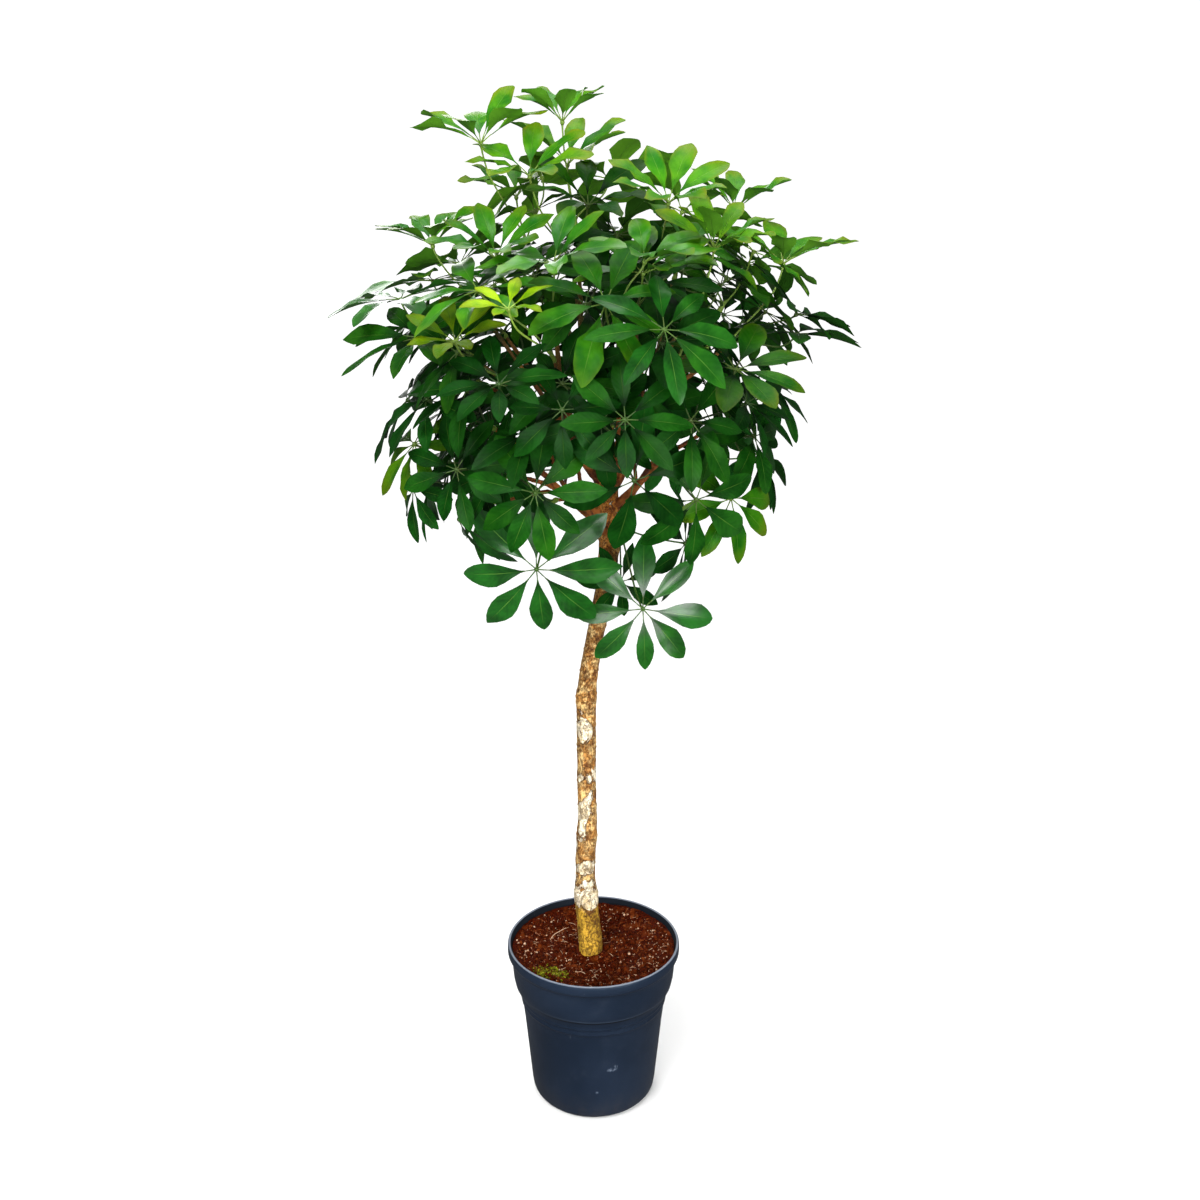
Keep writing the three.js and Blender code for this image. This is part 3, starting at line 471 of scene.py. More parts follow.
def sheet_quads(rows, columns, around=False):
    """Quads of a grid whose points are numbered row by row; around joins the last column to the first."""
    row = np.arange(rows - 1)[:, None]
    column = np.arange(columns if around else columns - 1)[None, :]
    following = (column + 1) % columns
    ahead = np.stack([row * columns + column, row * columns + following], -1)
    return np.concatenate([ahead, ahead[..., ::-1] + columns], -1).reshape(-1, 4)


def repeated(face, copies, size):
    """The same faces once for each copy of a shape that has size points."""
    return (face[None] + np.arange(copies)[:, None, None] * size).reshape(-1, face.shape[-1])


def tube_faces(rings, sides):
    """The wall and the two ends of a tube whose points are numbered ring by ring."""
    ends = np.stack([np.arange(sides)[::-1], (rings - 1) * sides + np.arange(sides)])
    return [sheet_quads(rings, sides, around=True), ends]


def tubes(shape, paths, radii, sides, guide, fill=0, **values):
    """Closed tubes along paths of shape (n, m, 3). A ring's points are the path's point plus radius times
    (cos a) of the guide squared up to the path, plus radius times (sin a) of the direction across both."""
    copies, rings = paths.shape[:2]
    ahead = unit(np.gradient(paths, axis=1))
    guide = np.broadcast_to(guide[:, None], ahead.shape)
    normal = unit(guide - dot(guide, ahead) * ahead)
    binormal = np.cross(ahead, normal)
    turn = np.arange(sides) * 2 * np.pi / sides
    ring = normal[:, :, None] * np.cos(turn)[:, None] + binormal[:, :, None] * np.sin(turn)[:, None]
    points = paths[:, :, None] + ring * radii[:, :, None, None]
    size = rings * sides
    spread = {key: np.repeat(value, size) for key, value in values.items()}
    along = np.repeat(np.linspace(0, 1, rings), sides)
    uv = np.tile(np.stack([np.full(size, 0.5), along], -1), (copies, 1))
    faces = [repeated(face, copies, size) for face in tube_faces(rings, sides)]
    shape.add(points, faces, uv, fill, **spread)


def smooth_path(points, start_way, end_way, steps):
    """A Catmull-Rom curve through points that leaves along one way and ends along another, evenly sampled:
    half of (2b + (c - a) t + (2a - 5b + 4c - d) t squared + (3b - a - 3c + d) t cubed)."""
    points = np.asarray(points)
    first = points[0] - start_way * np.linalg.norm(points[1] - points[0])
    last = points[-1] + end_way * np.linalg.norm(points[-1] - points[-2])
    control = np.vstack([first, points, last])
    t = np.linspace(0, 1, 24)[:, None]
    parts = []
    for k in range(len(points) - 1):
        a, b, c, d = control[k:k + 4]
        squared = 2 * a - 5 * b + 4 * c - d
        cubed = 3 * b - a - 3 * c + d
        parts.append(0.5 * (2 * b + (c - a) * t + squared * t**2 + cubed * t**3))
    fine = np.concatenate(parts)
    gone = np.concatenate([[0], np.cumsum(np.linalg.norm(np.diff(fine, axis=0), axis=1))])
    share = np.linspace(0, gone[-1], steps)
    return np.stack([np.interp(share, gone, fine[:, axis]) for axis in range(3)], -1)


# -------- leaflets

BARE = 0.14  # the share of a leaflet's reach that is its own thin stalk
LEAFLET_WAIST = 0.64  # the share of the reach at which the part's leaflet is widest
ROWS = np.array([0, 0.08, 0.20, 0.34, 0.49, 0.63, 0.76, 0.88, 0.96, 1.0])
COLUMNS = np.array([-1, -0.5, 0, 0.5, 1])


def midline(share, reach, droop):
    """Height of the leaflet's midline over its own plane: an arch that peaks near the middle of the reach
    and falls to the droop at the tip, as reach times (0.16 s - (0.16 + droop) s squared)."""
    return reach * (0.16 * share - (0.16 + droop) * share**2)


def add_blades(shape, leaflet, rng):
    """Blades as closed pillows. Half width is breadth times sin(pi row^p)^q, with p placing the widest
    row and q falling from a slender foot to a blunt or pointed tip; both margins ripple. A point lies
    along the midline by its row, out to its side by column times half width, and up by the fold, the
    curl and the waves of its margin."""
    count = len(leaflet["reach"])
    row, column = ROWS[None, :, None], COLUMNS[None, None, :]
    draw = lambda low, high: rng.uniform(low, high, (count, 1, 1))
    each = lambda key: leaflet[key][:, None, None]
    side = np.sign(column)
    power = math.log(0.5) / np.log(each("widest") + draw(-0.03, 0.03))
    tip = each("tip") + draw(-0.08, 0.16)
    fullness = 1.05 + (tip - 1.05) * smooth(0.2, 0.8, row)
    bell = np.clip(np.sin(np.pi * row**power), 0, 1) ** fullness
    reach, ripple, fold = each("reach"), each("ripple"), each("fold")
    breadth = reach * (each("breadth") + draw(-0.018, 0.018))
    scallop = 1 + ripple * np.sin(2 * np.pi * (draw(1.2, 2.6) * row + draw(0, 1) + 0.31 * side))
    half = np.maximum(breadth * bell * scallop, 0.0006)
    share = BARE + (1 - BARE) * row
    twist = draw(-0.3, 0.3) * row + draw(-0.12, 0.12)
    lift = half * (fold * abs(column) - 0.55 * fold * column**2)
    wave = np.sin(2 * np.pi * (draw(1.0, 2.3) * row + draw(0, 1) + draw(-0.3, 0.3) * side))
    lift = lift + half * 4 * ripple * draw(0.3, 1) * wave * column**2
    bend = draw(-0.05, 0.05) * reach * row**2
    rise = midline(share, reach, each("droop"))
    left, top = each("left"), each("top")
    across = left * np.cos(twist)[..., None] + top * np.sin(twist)[..., None]
    above = top * np.cos(twist)[..., None] - left * np.sin(twist)[..., None]
    upper = each("hub") + each("along") * (share * reach)[..., None] + top * rise[..., None]
    upper = upper + across * (half * column + bend)[..., None] + above * lift[..., None]
    rows, columns = len(ROWS), len(COLUMNS)
    inner = (rows - 2, columns - 2)
    thickness = (0.00035 + 0.0007 * (1 - 0.75 * row) * (column == 0)) * np.ones_like(lift)
    lower = (upper - above * thickness[..., None])[:, 1:-1, 1:-1]
    points = np.concatenate([upper.reshape(count, -1, 3), lower.reshape(count, -1, 3)], 1)
    size = points.shape[1]
    quads = sheet_quads(rows, columns)
    beneath = np.arange(rows * columns).reshape(rows, columns)
    beneath[1:-1, 1:-1] = rows * columns + np.arange(math.prod(inner)).reshape(inner)
    top_faces = np.roll(quads[:, ::-1], 1, axis=1)
    low_faces = beneath.ravel()[quads]
    flat = np.stack(np.broadcast_arrays((COLUMNS[None] + 1) / 2, ROWS[:, None]), -1)
    uv = np.tile(np.concatenate([flat.reshape(-1, 2), flat[1:-1, 1:-1].reshape(-1, 2)]), (count, 1))
    faces = [repeated(top_faces, count, size), repeated(low_faces, count, size)]
    spread = {key: np.repeat(leaflet[key], size) for key in ("youth", "tone")}
    shape.add(points, faces, uv, 0, **spread)
    shape.corners[-1] = shape.corners[-1] + (2, 0)  # tells the underside from the top


def add_leaflet_stalks(shape, leaflet):
    """Thin stalks from the hub to the blade, on the same midline, thinner towards the blade."""
    rings = 4
    share = np.linspace(0.025, BARE + 0.05, rings)[None, :]
    reach = leaflet["reach"][:, None]
    rise = midline(share, reach, leaflet["droop"][:, None])
    path = leaflet["hub"][:, None] + leaflet["along"][:, None] * (share * reach)[..., None]
    path = path + leaflet["top"][:, None] * rise[..., None]
    radius = np.broadcast_to(np.linspace(0.85, 0.55, rings) * MM, path.shape[:2])
    youth = leaflet["youth"] * 0.85 + 0.03
    tubes(shape, path, radius, 5, leaflet["top"], 1, youth=youth, tone=leaflet["tone"])


# -------- reading the CAD shoots


def merged(node):
    """A CAD node's triangles with their shared corners joined, as a bmesh."""
    joined = bmesh.new()
    joined.from_mesh(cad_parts[node].data)
    bmesh.ops.remove_doubles(joined, verts=joined.verts, dist=1e-5)
    return joined


def neighbours(corner):
    return [edge.other_vert(corner) for edge in corner.link_edges]


def places(corners):
    return np.array([list(corner.co) for corner in corners])


def even_rings(solid, radius, sides):
    """Rings of corners joined by edges that all have the length of a ring's side, as sets of corners."""
    side = 2 * radius * MM * math.sin(math.pi / sides)
    linked = {}
    for edge in solid.edges:
        if abs(edge.calc_length() - side) < 0.02 * MM:
            for corner in edge.verts:
                linked.setdefault(corner, set()).add(edge.other_vert(corner))
    rings = []
    for corner, beside in linked.items():
        ring, known = {corner} | beside, None
        while ring != known and len(ring) < sides:
            known, ring = ring, ring.union(*(linked[near] for near in ring))
        spread = np.linalg.norm(places(ring) - places(ring).mean(0), axis=1)
        if len(ring) == sides and np.ptp(spread) < 0.05 * MM and ring not in rings:
            rings.append(ring)
    return rings


def read_whorls(solid):
    """Finds each leaflet by its tip, a corner with three edges. The neighbour that has six edges is its
    raised middle, and the middle's busiest other neighbour is the point over the leaf's hub."""
    whorls = {}
    for tip in solid.verts:
        beside = neighbours(tip)
        middle = max(beside, key=lambda corner: len(corner.link_edges))
        if len(beside) != 3 or len(middle.link_edges) != 6:
            continue
        sides = [corner for corner in beside if corner != middle]
        others = [corner for corner in neighbours(middle) if corner not in beside and corner != tip]
        over = max(others, key=lambda corner: len(corner.link_edges))
        whorls.setdefault(over, []).append((middle, *sides))
    return {over: parts for over, parts in whorls.items() if len(parts) > 3}


FEET_REACH = 4.4  # the leaflets' feet lie nearer to the point over the hub than this


def read_leaf(over, parts, rings):
    """A leaf's hub and facing, from the leaflets' feet round it, and its stalk's path from the hub down."""
    peak = np.array(over.co)
    feet = places(neighbours(over))
    feet = feet[np.linalg.norm(feet - peak, axis=1) < FEET_REACH * MM]
    facing = np.linalg.svd(feet - feet.mean(0))[2][2]
    facing = facing * np.sign(np.dot(facing, peak - feet.mean(0)))
    hub = peak - facing * HUB_HALF_HEIGHT * MM
    collar = hub - facing * HUB_HALF_HEIGHT * MM
    path = [collar]
    below = lambda ring: np.linalg.norm(places(ring).mean(0) - collar) < 0.3 * MM
    ring = next(filter(below, rings), None)
    used = []
    while ring and len(path) < STALK_STEPS:
        used.append(ring)
        beside = {corner for near in ring for corner in neighbours(near)}
        ring = next((other for other in rings if other not in used and len(other & beside) > 1), None)
        if ring:
            path.append(places(ring).mean(0))
    return {"hub": hub, "facing": facing, "parts": parts, "stalk": np.array(path)}


def leaflet_frames(leaf):
    """Each leaflet's directions along, left and top, and its reach, from its kite's corners."""
    raised, first, second = (places(corners) for corners in zip(*leaf["parts"]))
    waist = (first + second) / 2
    along = unit(waist - leaf["hub"])
    span = second - first
    top = np.cross(along, span)
    top = unit(top * np.sign(dot(top, raised - waist)))
    left = np.cross(top, along)
    spoke = along - dot(along, leaf["facing"]) * leaf["facing"]
    start = unit(np.cross(leaf["facing"], (0.31, 0.87, 0.23)))
    angle = np.arctan2(dot(spoke, np.cross(leaf["facing"], start)), dot(spoke, start))[:, 0]
    order = np.argsort(angle)
    reach = np.linalg.norm(waist - leaf["hub"], axis=1) / LEAFLET_WAIST
    frames = {"along": along, "left": left, "top": top, "reach": reach}
    return {key: value[order] for key, value in frames.items()}


# -------- leafy shoots

CROWN_CORE = np.array((0.012, 0, 0.96))
CROWN_SIZE = np.array((0.25, 0.25, 0.34))  # from the core to the crown's edge along X, Y and Z
# Hubs of the whorls that are still yellow-green, with how young each is.
YOUNG_HUBS = np.array([
    (0.085, -0.090, 1.205), (0.135, -0.110, 1.155), (-0.085, -0.225, 1.095), (-0.145, -0.190, 1.060),
    (-0.035, 0.010, 1.300), (0.160, -0.130, 0.880), (0.230, 0.010, 1.140), (-0.205, -0.110, 0.940),
    (-0.185, -0.040, 1.160), (0.155, -0.180, 1.030),
])
YOUNG_SHARES = np.array((0.52, 0.56, 0.98, 0.85, 0.5, 0.45, 0.55, 0.6, 0.5, 0.45))


def from_core(hub):
    """Distance from the crown's core: 0 there and 1 at the crown's edge."""
    return np.linalg.norm((hub - CROWN_CORE) / CROWN_SIZE)


def youth_of(hub, rng):
    """Youth grows with height and distance from the crown's core, and is set for the marked whorls."""
    base = 0.06 + 0.52 * smooth(0.98, 1.26, hub[2]) + 0.10 * rng.uniform(-1, 1)
    distance = np.linalg.norm(YOUNG_HUBS - hub, axis=1)
    nearest = np.argmin(distance)
    if distance[nearest] < 0.004:
        return YOUNG_SHARES[nearest]
    return float(np.clip(base * smooth(0.3, 0.9, from_core(hub)), 0.02, 0.6))


def bud_of(solid):
    """The growing tip's foot is an even ring of corners. Its plane gives the axis, towards the leaves."""
    ring = places(even_rings(solid, BUD_RADIUS, BUD_SIDES)[0])
    centre = ring.mean(0)
    axis = np.linalg.svd(ring - centre)[2][2]
    apex = centre + axis * BUD_LENGTH * MM
    nearest = np.linalg.norm(places(solid.verts) - apex, axis=1).min()
    return centre, axis if nearest < 2.2 * MM else -axis


def read_shoot(node):
    """A CAD shoot's growing tip and its leaves from the lowest up, each with its leaflets' frames."""
    solid = merged(node)
    foot, axis = bud_of(solid)
    rings = even_rings(solid, STALK_RADIUS, STALK_SIDES)
    leaves = [read_leaf(over, parts, rings) for over, parts in read_whorls(solid).items()]
    leaves.sort(key=lambda leaf: leaf["hub"][2])
    for leaf in leaves:
        leaf["frames"] = leaflet_frames(leaf)
    solid.free()
    return {"foot": foot, "axis": axis, "leaves": leaves}


def openness(hub, hubs):
    """How much light reaches a hub, from 1 to 0, as the share that sets painted shade: it falls with the hubs
    inside a wide cone over it, near ones most, and rises with the hub's distance from the crown's core."""
    away = hubs - hub
    rise = away[:, 2]
    level = np.hypot(away[:, 0], away[:, 1])
    cover = np.sum((rise > 0.4 * level) * (rise > 0.02) * smooth(0.34, 0.05, rise + level))
    shade = (0.15 + 0.58 * smooth(0.78, 0.97, hub[2])) * smooth(0.5, 5.0, cover)
    return (0.15 + 0.85 * smooth(0.4, 0.95, from_core(hub))) * (1 - shade)


def make_shoot(node, parts, hubs, materials):
    """One leafy shoot: its growing tip, and for each leaf a stalk, a hub and its whorl of leaflets."""
    rng = np.random.default_rng(int(node[-2:]))
    shape = Shape("youth", "tone")
    foot, axis = parts["foot"], parts["axis"]
    for leaf in parts["leaves"]:
        leaflet = dict(leaf["frames"])
        count = len(leaflet["reach"])
        youth = youth_of(leaf["hub"], rng)
        leaflet["hub"] = np.repeat(leaf["hub"][None], count, 0)
        leaflet["youth"] = np.clip(youth + rng.uniform(-0.07, 0.07, count), 0, 1)
        # the light share sets the painted shade on this whorl's leaflets and stalks
        leaflet["tone"] = np.clip(openness(leaf["hub"], hubs) + rng.uniform(-0.12, 0.12, count), 0, 1)
        high = smooth(1.02, 1.2, leaf["hub"][2])
        leaflet["reach"] = leaflet["reach"] * (1.05 + 0.07 * high)
        leaflet["droop"] = rng.uniform(0.03, 0.14, count) + rng.uniform(0.02, 0.18, count) * high
        leaflet["fold"] = rng.uniform(0.25, 0.60, count)
        leaflet["widest"] = np.full(count, rng.uniform(0.55, 0.61) + 0.06 * high)
        leaflet["breadth"] = np.full(count, rng.uniform(0.142, 0.170) + 0.014 * high)
        leaflet["tip"] = np.full(count, rng.uniform(0.60, 0.78) - 0.12 * high)
        leaflet["ripple"] = rng.uniform(0.015, 0.05, count) + 0.07 * high
        add_blades(shape, leaflet, rng)
        add_leaflet_stalks(shape, leaflet)
        add_stalk(shape, leaf, foot, axis, youth, leaflet["tone"].mean())
    tip = foot + axis * (np.array([-1.5, 0.5, 3.5, 7.5, 11, 13.5, 15]) * MM)[:, None]
    stalk_tube(shape, tip, np.array([2.9, 3.5, 3.3, 2.7, 1.9, 1.0, 0.3]), 10, axis, 0.6, 0.8)
    return shape.piece(f"leafy_{node}", "leaf", node, *materials)


def steady(way):
    """The world axis that lies least along a way, for squaring up a tube's rings."""
    return np.eye(3)[np.argmin(np.abs(way))]


def stalk_tube(shape, path, radius, sides, way, youth, tone):
    """One tube of stalk whose rings are squared up to a way, its radii in millimetres."""
    look = {"youth": np.array([youth]), "tone": np.array([tone])}
    tubes(shape, path[None], radius[None] * MM, sides, steady(way)[None], 1, **look)


LEAF_STALK_RINGS = 16


def add_stalk(shape, leaf, foot, axis, youth, tone):
    """A leaf's stalk, flared where it clasps the shoot and swollen a little under the hub."""
    start = foot + axis * 6 * MM
    points = np.vstack([start, leaf["stalk"][::-1]])
    path = smooth_path(points, axis, leaf["facing"], LEAF_STALK_RINGS)
    share = np.linspace(0, 1, LEAF_STALK_RINGS)
    radius = 1.15 + 1.2 * smooth(0.14, 0.0, share) + 0.35 * smooth(0.93, 1.0, share)
    look = (0.05 + 0.75 * youth, tone)
    stalk_tube(shape, path, radius, 6, path[-1] - path[0], *look)
    knob = leaf["hub"] + leaf["facing"] * (np.array([-3.6, -1.6, 0.3, 1.8, 2.6]) * MM)[:, None]
    stalk_tube(shape, knob, np.array([1.3, 2.5, 2.9, 2.1, 0.6]), 8, leaf["facing"], *look)


# -------- branches


def settled(piece):
    """Applies a piece's modifiers to its mesh."""
    shown = piece.evaluated_get(bpy.context.evaluated_depsgraph_get())
    finished = bpy.data.meshes.new_from_object(shown)
    piece.modifiers.clear()
    piece.data = finished
    return finished


def make_branch(node, material):
    """A CAD branch, remeshed fine and smoothed, its corners then moved outwards by value noise."""
    solid = merged(node)
    mesh = bpy.data.meshes.new(f"wood_{node}")
    solid.to_mesh(mesh)
    solid.free()
    piece = stand_in(bpy.data.objects.new(f"wood_{node}", mesh), "greenwood", node, material)
    remesh = piece.modifiers.new("remesh", "REMESH")
    remesh.mode = "VOXEL"
    remesh.voxel_size = 0.0014
    soften = piece.modifiers.new("soften", "SMOOTH")
    soften.iterations = 14
    soften.factor = 0.5
    fine = settled(piece)
    bpy.data.meshes.remove(mesh)
    points, normals = np.zeros((2, len(fine.vertices) * 3))
    fine.vertices.foreach_get("co", points)
    fine.vertices.foreach_get("normal", normals)
    points, normals = points.reshape(-1, 3), normals.reshape(-1, 3)
    swell = 0.0006 + 0.0005 * lumps(points, 0.011, 5) + 0.00025 * lumps(points, 0.004, 6)
    points = points + normals * swell[:, None]
    fine.vertices.foreach_set("co", points.ravel())
    fine.shade_smooth()
    fine.update()
    return piece


# -------- stem


BARK_RIDGES = 0.8  # how far the bark stands proud of the part's smooth stem
NODE_RINGS = np.array((
    262, 305, 347, 391, 436, 474, 521, 553, 593, 628, 655, 689, 716, 741, 768, 802, 843,
))


def make_stem(material):
    """The stem as a grid of rows and turns. Its middle and radius follow the table through a smoothed
    interpolation; the radius gains broad and fine value noise, raised node rings and shallow scars."""
    rows, turns = 420, 56
    height = np.linspace(STEM[0, 0], STEM[-1, 0], rows)
    kernel = np.hanning(17)
    kernel /= kernel.sum()
    soft = lambda values: np.convolve(np.pad(values, 8, "edge"), kernel, "valid")
    sideways = soft(np.interp(height, STEM[:, 0], STEM[:, 1]))
    radius = soft(np.interp(height, STEM[:, 0], STEM[:, 2])) + BARK_RIDGES
    radius[-12:] *= np.sqrt(np.linspace(1, 0.02, 12))
    turn = np.arange(turns) * 2 * np.pi / turns
    spin = np.stack([np.cos(turn), np.sin(turn), np.zeros(turns)], -1)
    middle = np.stack([sideways, 0 * height, height], -1)
    rough = middle[:, None] + spin[None] * radius[:, None, None]
    grown = radius[:, None] + 0.55 * lumps(rough, 13, 1) + 0.35 * lumps(rough, 5, 2)
    grown = grown + 0.16 * lumps(rough, 2.2, 3)
    sway = 2.2 * np.sin(turn[None, :] + height[:, None] * 0.05)
    gap = np.abs(height[:, None, None] + sway[..., None] - NODE_RINGS).min(-1)
    grown = grown + 0.6 * np.exp(-(gap / 1.6) ** 2) - 0.35 * np.exp(-((gap - 3.2) / 1.2) ** 2)
    points = (middle[:, None] + spin[None] * grown[..., None]) * MM
    shape = Shape()
    shape.add(points, tube_faces(rows, turns))
    return shape.piece("woody_stem", "bark", "stem", material)


# -------- pot

# Outline from the middle of the underside out to the foot, up to the lip and down inside to the floor:
# the part's outline with rounded edges and, at 146 and 155 mm, two faint ridges.
POT_OUTLINE = np.array([
    (0, 0.8), (60, 0.8), (68, 0.8), (70, 0), (77.5, 0), (79.6, 0.5), (81.6, 1.9), (83.6, 3.8), (85.4, 6.2),
    (86.6, 9.5), (88, 18), (91, 50), (94.2, 84), (96.9, 113), (98.4, 126), (100, 140), (100.7, 143.6),
    (101.9, 144.8), (102.2, 146.2), (101.7, 147.8), (102.1, 152.4), (103.5, 153.8), (103.9, 155.4),
    (103.5, 157.2), (104.4, 160.5), (106.4, 166.6), (107, 168.6), (109.2, 169.4), (110, 171.2), (111.2, 177),
    (112.3, 183), (113.4, 197), (114.2, 206), (114.8, 211.6), (116.4, 214.4), (118.6, 216), (119.7, 218),
    (119.95, 221), (119.8, 226), (119.5, 228.8), (118.7, 230.3), (117.5, 231), (116.4, 230.6), (115.6, 229.4),
    (115.2, 227), (114.2, 219), (112.8, 209), (110.6, 190), (104.4, 165), (101, 152), (98.8, 141), (98, 136),
    (96, 121), (92, 84), (87, 38), (83.4, 10), (82, 5), (80, 3.2), (76, 3), (0, 3),
])
POT_TURNS = 192


def cutter(points):
    """A prism to cut with, from the points of its lower and then its upper ring, in millimetres."""
    mesh = bpy.data.meshes.new("cutter")
    faces = [face for kind in tube_faces(2, len(points) // 2) for face in kind.tolist()]
    mesh.from_pydata(points * MM, [], faces)
    return link(bpy.data.objects.new("cutter", mesh))


def heading(degrees):
    angle = math.radians(degrees)
    return np.array((math.cos(angle), math.sin(angle), 0))


def drain_cutters():
    """Round drain holes through the floor and square notches at the foot, as in the part."""
    drill = turned(np.array([(DRAIN_RADIUS, -3), (DRAIN_RADIUS, 6)]), 20).reshape(-1, 3)
    near, half = FOOT_RADIUS - NOTCH_BITE, NOTCH_SIZE[1] / 2
    far = near + NOTCH_SIZE[0]
    made = []
    for number in range(DRAIN_HOLES):
        centre = DRAIN_CIRCLE * heading(DRAIN_FIRST + 360 * number / DRAIN_HOLES)
        made.append(cutter(drill + centre))
    for degrees in NOTCH_ANGLES:
        out = heading(degrees)
        side = np.array((-out[1], out[0], 0))
        box = [out * r + side * s + (0, 0, z) for z in (-1, NOTCH_SIZE[2] - 1) for r, s in
               ((near, -half), (far, -half), (far, half), (near, half))]
        made.append(cutter(np.array(box)))
    return made


def make_pot(material):
    """The outline turned round the axis; its two ends are poles. The holes and notches are then cut."""
    points = turned(POT_OUTLINE[1:-1], POT_TURNS).reshape(-1, 3)
    rows = len(POT_OUTLINE) - 2
    poles = [(0, 0, POT_OUTLINE[end, 1]) for end in (0, -1)]
    first = np.full(POT_TURNS, rows * POT_TURNS)
    here = np.arange(POT_TURNS)
    following = (here + 1) % POT_TURNS
    top_row = (rows - 1) * POT_TURNS
    under = np.stack([first, following, here], -1)
    inside = np.stack([first + 1, top_row + here, top_row + following], -1)
    shape = Shape()
    shape.add(np.vstack([points, poles]) * MM, [sheet_quads(rows, POT_TURNS, around=True), under, inside])
    piece = shape.piece("nursery_pot", "pot", "pot", material)
    tools = drain_cutters()
    for tool in tools:
        cut = piece.modifiers.new("cut", "BOOLEAN")
        cut.object = tool
        cut.operation = "DIFFERENCE"
        cut.solver = "EXACT"
    finished = settled(piece)
    for tool in tools:
        bpy.data.objects.remove(tool)
    finished.shade_smooth()
    finished.set_sharp_from_angle(angle=math.radians(38))
    return piece


# -------- soil

SOIL_RADIUS = 113.2
GOLDEN = (1 + math.sqrt(5)) / 2
# An icosahedron's corners are those of three golden rectangles that cross at right angles.
CARD = np.array([(-1, GOLDEN, 0), (1, GOLDEN, 0), (-1, -GOLDEN, 0), (1, -GOLDEN, 0)])
CRUMB_POINTS = unit(np.concatenate([np.roll(CARD, turn, axis=1) for turn in range(3)]))
CRUMB_FACES = np.array([
    (0, 11, 5), (0, 5, 1), (0, 1, 7), (0, 7, 10), (0, 10, 11), (1, 5, 9), (5, 11, 4), (11, 10, 2),
    (10, 7, 6), (7, 1, 8), (3, 9, 4), (3, 4, 2), (3, 2, 6), (3, 6, 8), (3, 8, 9), (4, 9, 5), (2, 4, 11),
    (6, 2, 10), (8, 6, 7), (9, 8, 1),
])
MOSS_CENTRE = np.array((-60, -64))
# Crumbs: how many, least and greatest size, rise over the peat by its size, least and greatest grit.
CRUMB_KINDS = (
    (1100, 1.1, 4.2, 0.15, 0.0, 0.14),
    (1100, 0.5, 2.2, 0.40, 0.22, 0.5),
    (620, 0.4, 1.6, 0.50, 0.6, 1.0),
)


def soil_height(points):
    """Height of the peat at places (x, y): heaped at the stem as exp(-(r / 24) squared), rising by a
    smoothstep of the radius towards the wall, and lumpy."""
    x, y = points[..., 0], points[..., 1]
    flat = np.stack([x, y, 0 * x], -1)
    heap = 3.2 * np.exp(-(np.hypot(x + 4, y) / 24) ** 2)
    rough = 1.5 * lumps(flat, 17, 11) + 0.9 * lumps(flat, 6, 12) + 0.55 * lumps(flat, 2.4, 13)
    return 211.0 + heap + 10.4 * smooth(58, 113, np.hypot(x, y)) + rough


def scattered(count, rng, reach=108, clear=18):
    """Random places on the peat, even by area, clear of the stem."""
    spread = np.sqrt(rng.uniform((clear / reach) ** 2, 1, count)) * reach
    turn = rng.uniform(0, 2 * np.pi, count)
    return np.stack([spread * np.cos(turn) - 3 * (spread < 40), spread * np.sin(turn)], -1)


def add_crumbs(shape, spots, sizes, rng, rise, **values):
    """Crumbs: icosahedra stretched, jittered corner by corner and turned at random."""
    count, corners_each = len(spots), len(CRUMB_POINTS)
    stretch = rng.uniform(0.5, 1.5, (count, 1, 3))
    corners = CRUMB_POINTS[None] * rng.uniform(0.75, 1.25, (count, corners_each, 1)) * stretch
    axes = np.linalg.qr(rng.normal(size=(count, 3, 3)))[0]
    axes[:, :, 0] *= np.sign(np.linalg.det(axes))[:, None]
    corners = np.einsum("nij,nkj->nki", axes, corners) * sizes[:, None, None]
    base = np.concatenate([spots, (soil_height(spots) + rise * sizes)[:, None]], -1)
    points = (corners + base[:, None]) * MM
    spread = {key: np.repeat(value, corners_each) for key, value in values.items()}
    shape.add(points, [repeated(CRUMB_FACES, count, corners_each)], **spread)


def add_fibres(shape, starts, lengths, ways, bends, radii, lift, **values):
    """Fibres: arcs lying on the peat, their far end turned by the bend and their middle raised."""
    share = np.linspace(0, 1, 7)
    way = ways[:, None] + bends[:, None] * (share - 0.5)
    steps = np.stack([np.cos(way), np.sin(way)], -1) * (lengths / 6)[:, None, None]
    flat = starts[:, None] + np.cumsum(steps, 1) - steps[:, :1]
    up = soil_height(flat) + 0.5 + lift[:, None] * np.sin(np.pi * share)
    path = np.concatenate([flat, up[..., None]], -1) * MM
    thick = radii[:, None] * np.array([0.35, 0.8, 1, 1, 0.95, 0.75, 0.3]) * MM
    tubes(shape, path, thick, 4, np.tile((0.0, 0.0, 1.0), (len(starts), 1)), 0, **values)


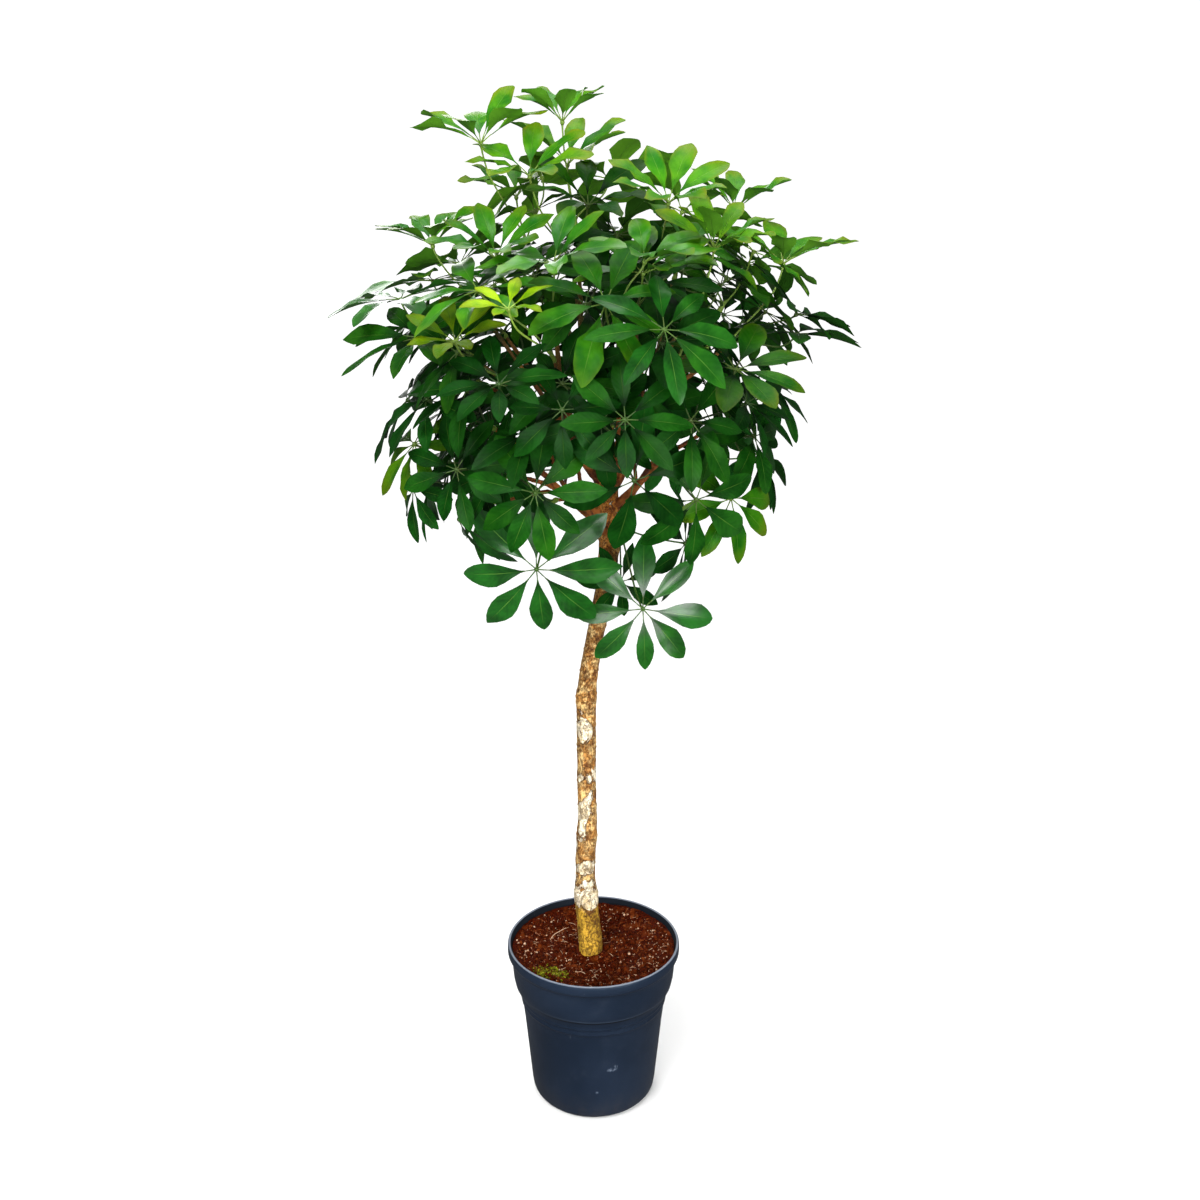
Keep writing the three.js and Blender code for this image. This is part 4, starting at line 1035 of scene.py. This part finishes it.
def make_soil(material):
    """Peat bed as a closed drum whose top is a polar grid, with crumbs, chips, fibres and moss on it."""
    rng = np.random.default_rng(77)
    rows, turns = 84, 200
    spread = np.linspace(0.6, SOIL_RADIUS, rows)
    bed = turned(np.stack([spread, 0 * spread], -1), turns)
    bed[..., 2] = soil_height(bed)
    wall = np.array([(112.2, 211), (98, 140), (83, 6), (40, 3.4)])
    points = np.concatenate([bed, turned(wall, turns)]).reshape(-1, 3) * MM
    size = rows + len(wall)
    shape = Shape("grit", "moss")
    patch = np.linalg.norm((points[:, :2] / MM - MOSS_CENTRE) / (24, 19), axis=1)
    green = smooth(1.15, 0.4, patch + 0.45 * lumps(points / MM, 5, 21)) * (points[:, 2] > 0.2)
    shape.add(points, [face[:, ::-1] for face in tube_faces(size, turns)], moss=green * 0.6)
    for count, low, high, rise, least, most in CRUMB_KINDS:
        sizes = low + (high - low) * rng.uniform(0, 1, count) ** 2
        add_crumbs(shape, scattered(count, rng), sizes, rng, rise, grit=rng.uniform(least, most, count))
    tufts = MOSS_CENTRE + rng.normal(size=(340, 2)) * (12, 9)
    tufts = tufts[np.hypot(tufts[:, 0], tufts[:, 1]) < 107]
    count = len(tufts)
    add_crumbs(shape, tufts, rng.uniform(0.5, 2.2, count), rng, 0.5, moss=rng.uniform(0.35, 1, count))
    count = 240
    starts = scattered(count, rng, 98, 24)
    lengths, ways = rng.uniform(3, 14, count), rng.uniform(0, 2 * np.pi, count)
    bends, radii = rng.uniform(-1.6, 1.6, count), rng.uniform(0.2, 0.5, count)
    lift, grit = rng.uniform(0, 2.2, count), rng.uniform(0.35, 0.95, count)
    add_fibres(shape, starts, lengths, ways, bends, radii, lift, grit=grit)
    add_fibres(
        shape, np.array([(-62.0, 28.0), (10.0, 66.0)]), np.array([42.0, 34.0]), np.array([0.95, 0.7]),
        np.array([-0.5, 0.3]), np.array([0.75, 0.55]), np.array([2.5, 1.5]), grit=np.array([0.9, 0.8]),
    )
    return shape.piece("peat_bed", "soil", "soil", material)


# -------- the plant

blade, stalk = leaf_blade_finish(), stalk_finish()
greenwood = greenwood_finish()
branch_names = sorted(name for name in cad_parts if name.startswith("branch_"))
shoots = {name: read_shoot(name) for name in sorted(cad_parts) if name.startswith("shoot_")}
all_hubs = np.array([leaf["hub"] for parts in shoots.values() for leaf in parts["leaves"]])
for name, parts in shoots.items():
    make_shoot(name, parts, all_hubs, (blade, stalk))
for name in branch_names:
    make_branch(name, greenwood)
make_stem(bark_finish())
make_pot(pot_finish())
make_soil(peat_finish())

# -------- studio

FLOOR_RADIUS = 4.5
COVE_RADIUS = 2.5
COVE_TOP = 5.5


def make_studio_floor():
    """A flat disc that curves up all round into a low wall: radius and height follow a quarter circle."""
    turns = 96
    bow = np.linspace(0, np.pi / 2, 16)
    cove = np.stack([FLOOR_RADIUS + COVE_RADIUS * np.sin(bow), COVE_RADIUS * (1 - np.cos(bow))], -1)
    disc = [(0.02, 0), (1.0, 0), (2.5, 0)]
    profile = np.vstack([disc, cove, (FLOOR_RADIUS + COVE_RADIUS, COVE_TOP)])
    mesh = bpy.data.meshes.new("studio_floor")
    faces = sheet_quads(len(profile), turns, around=True)[:, ::-1].tolist() + [list(range(turns))]
    mesh.from_pydata(turned(profile, turns).reshape(-1, 3), [], faces)
    mesh.shade_smooth()
    mesh.materials.append(floor_finish())
    made = link(bpy.data.objects.new("studio_floor", mesh))
    made.visible_diffuse = False
    made.visible_glossy = False


def add_light(name, place, aim, size, power, spread=180):
    light = bpy.data.lights.new(name, "AREA")
    light.shape = "RECTANGLE"
    light.size, light.size_y = size
    light.energy = power
    light.spread = math.radians(spread)
    made = link(bpy.data.objects.new(name, light))
    made.location = place
    made.rotation_euler = (Vector(aim) - Vector(place)).to_track_quat("-Z", "Y").to_euler()


make_studio_floor()
add_light("key", (-1.2, -1.9, 3.1), (0, 0, 0.8), (1.4, 1.4), 98)
add_light("fill", (1.5, -2.4, 0.9), (0, 0, 0.62), (1.8, 1.4), 17, spread=70)
add_light("panel", (-0.5, -2.5, 1.1), (0, 0, 0.7), (1.3, 0.9), 18, spread=110)
add_light("back", (-0.6, 2.6, 1.9), (0, 0, 0.9), (1.6, 1.2), 22, spread=120)
add_light("top", (0.2, 0.6, 3.6), (0, 0, 0.9), (1.8, 1.8), 66)
world = bpy.data.worlds.new("studio")
world.use_nodes = True
sky, strength = world.node_tree.nodes["Background"].inputs[:2]
sky.default_value = (1, 1, 1, 1)
strength.default_value = 0.27
bpy.context.scene.world = world
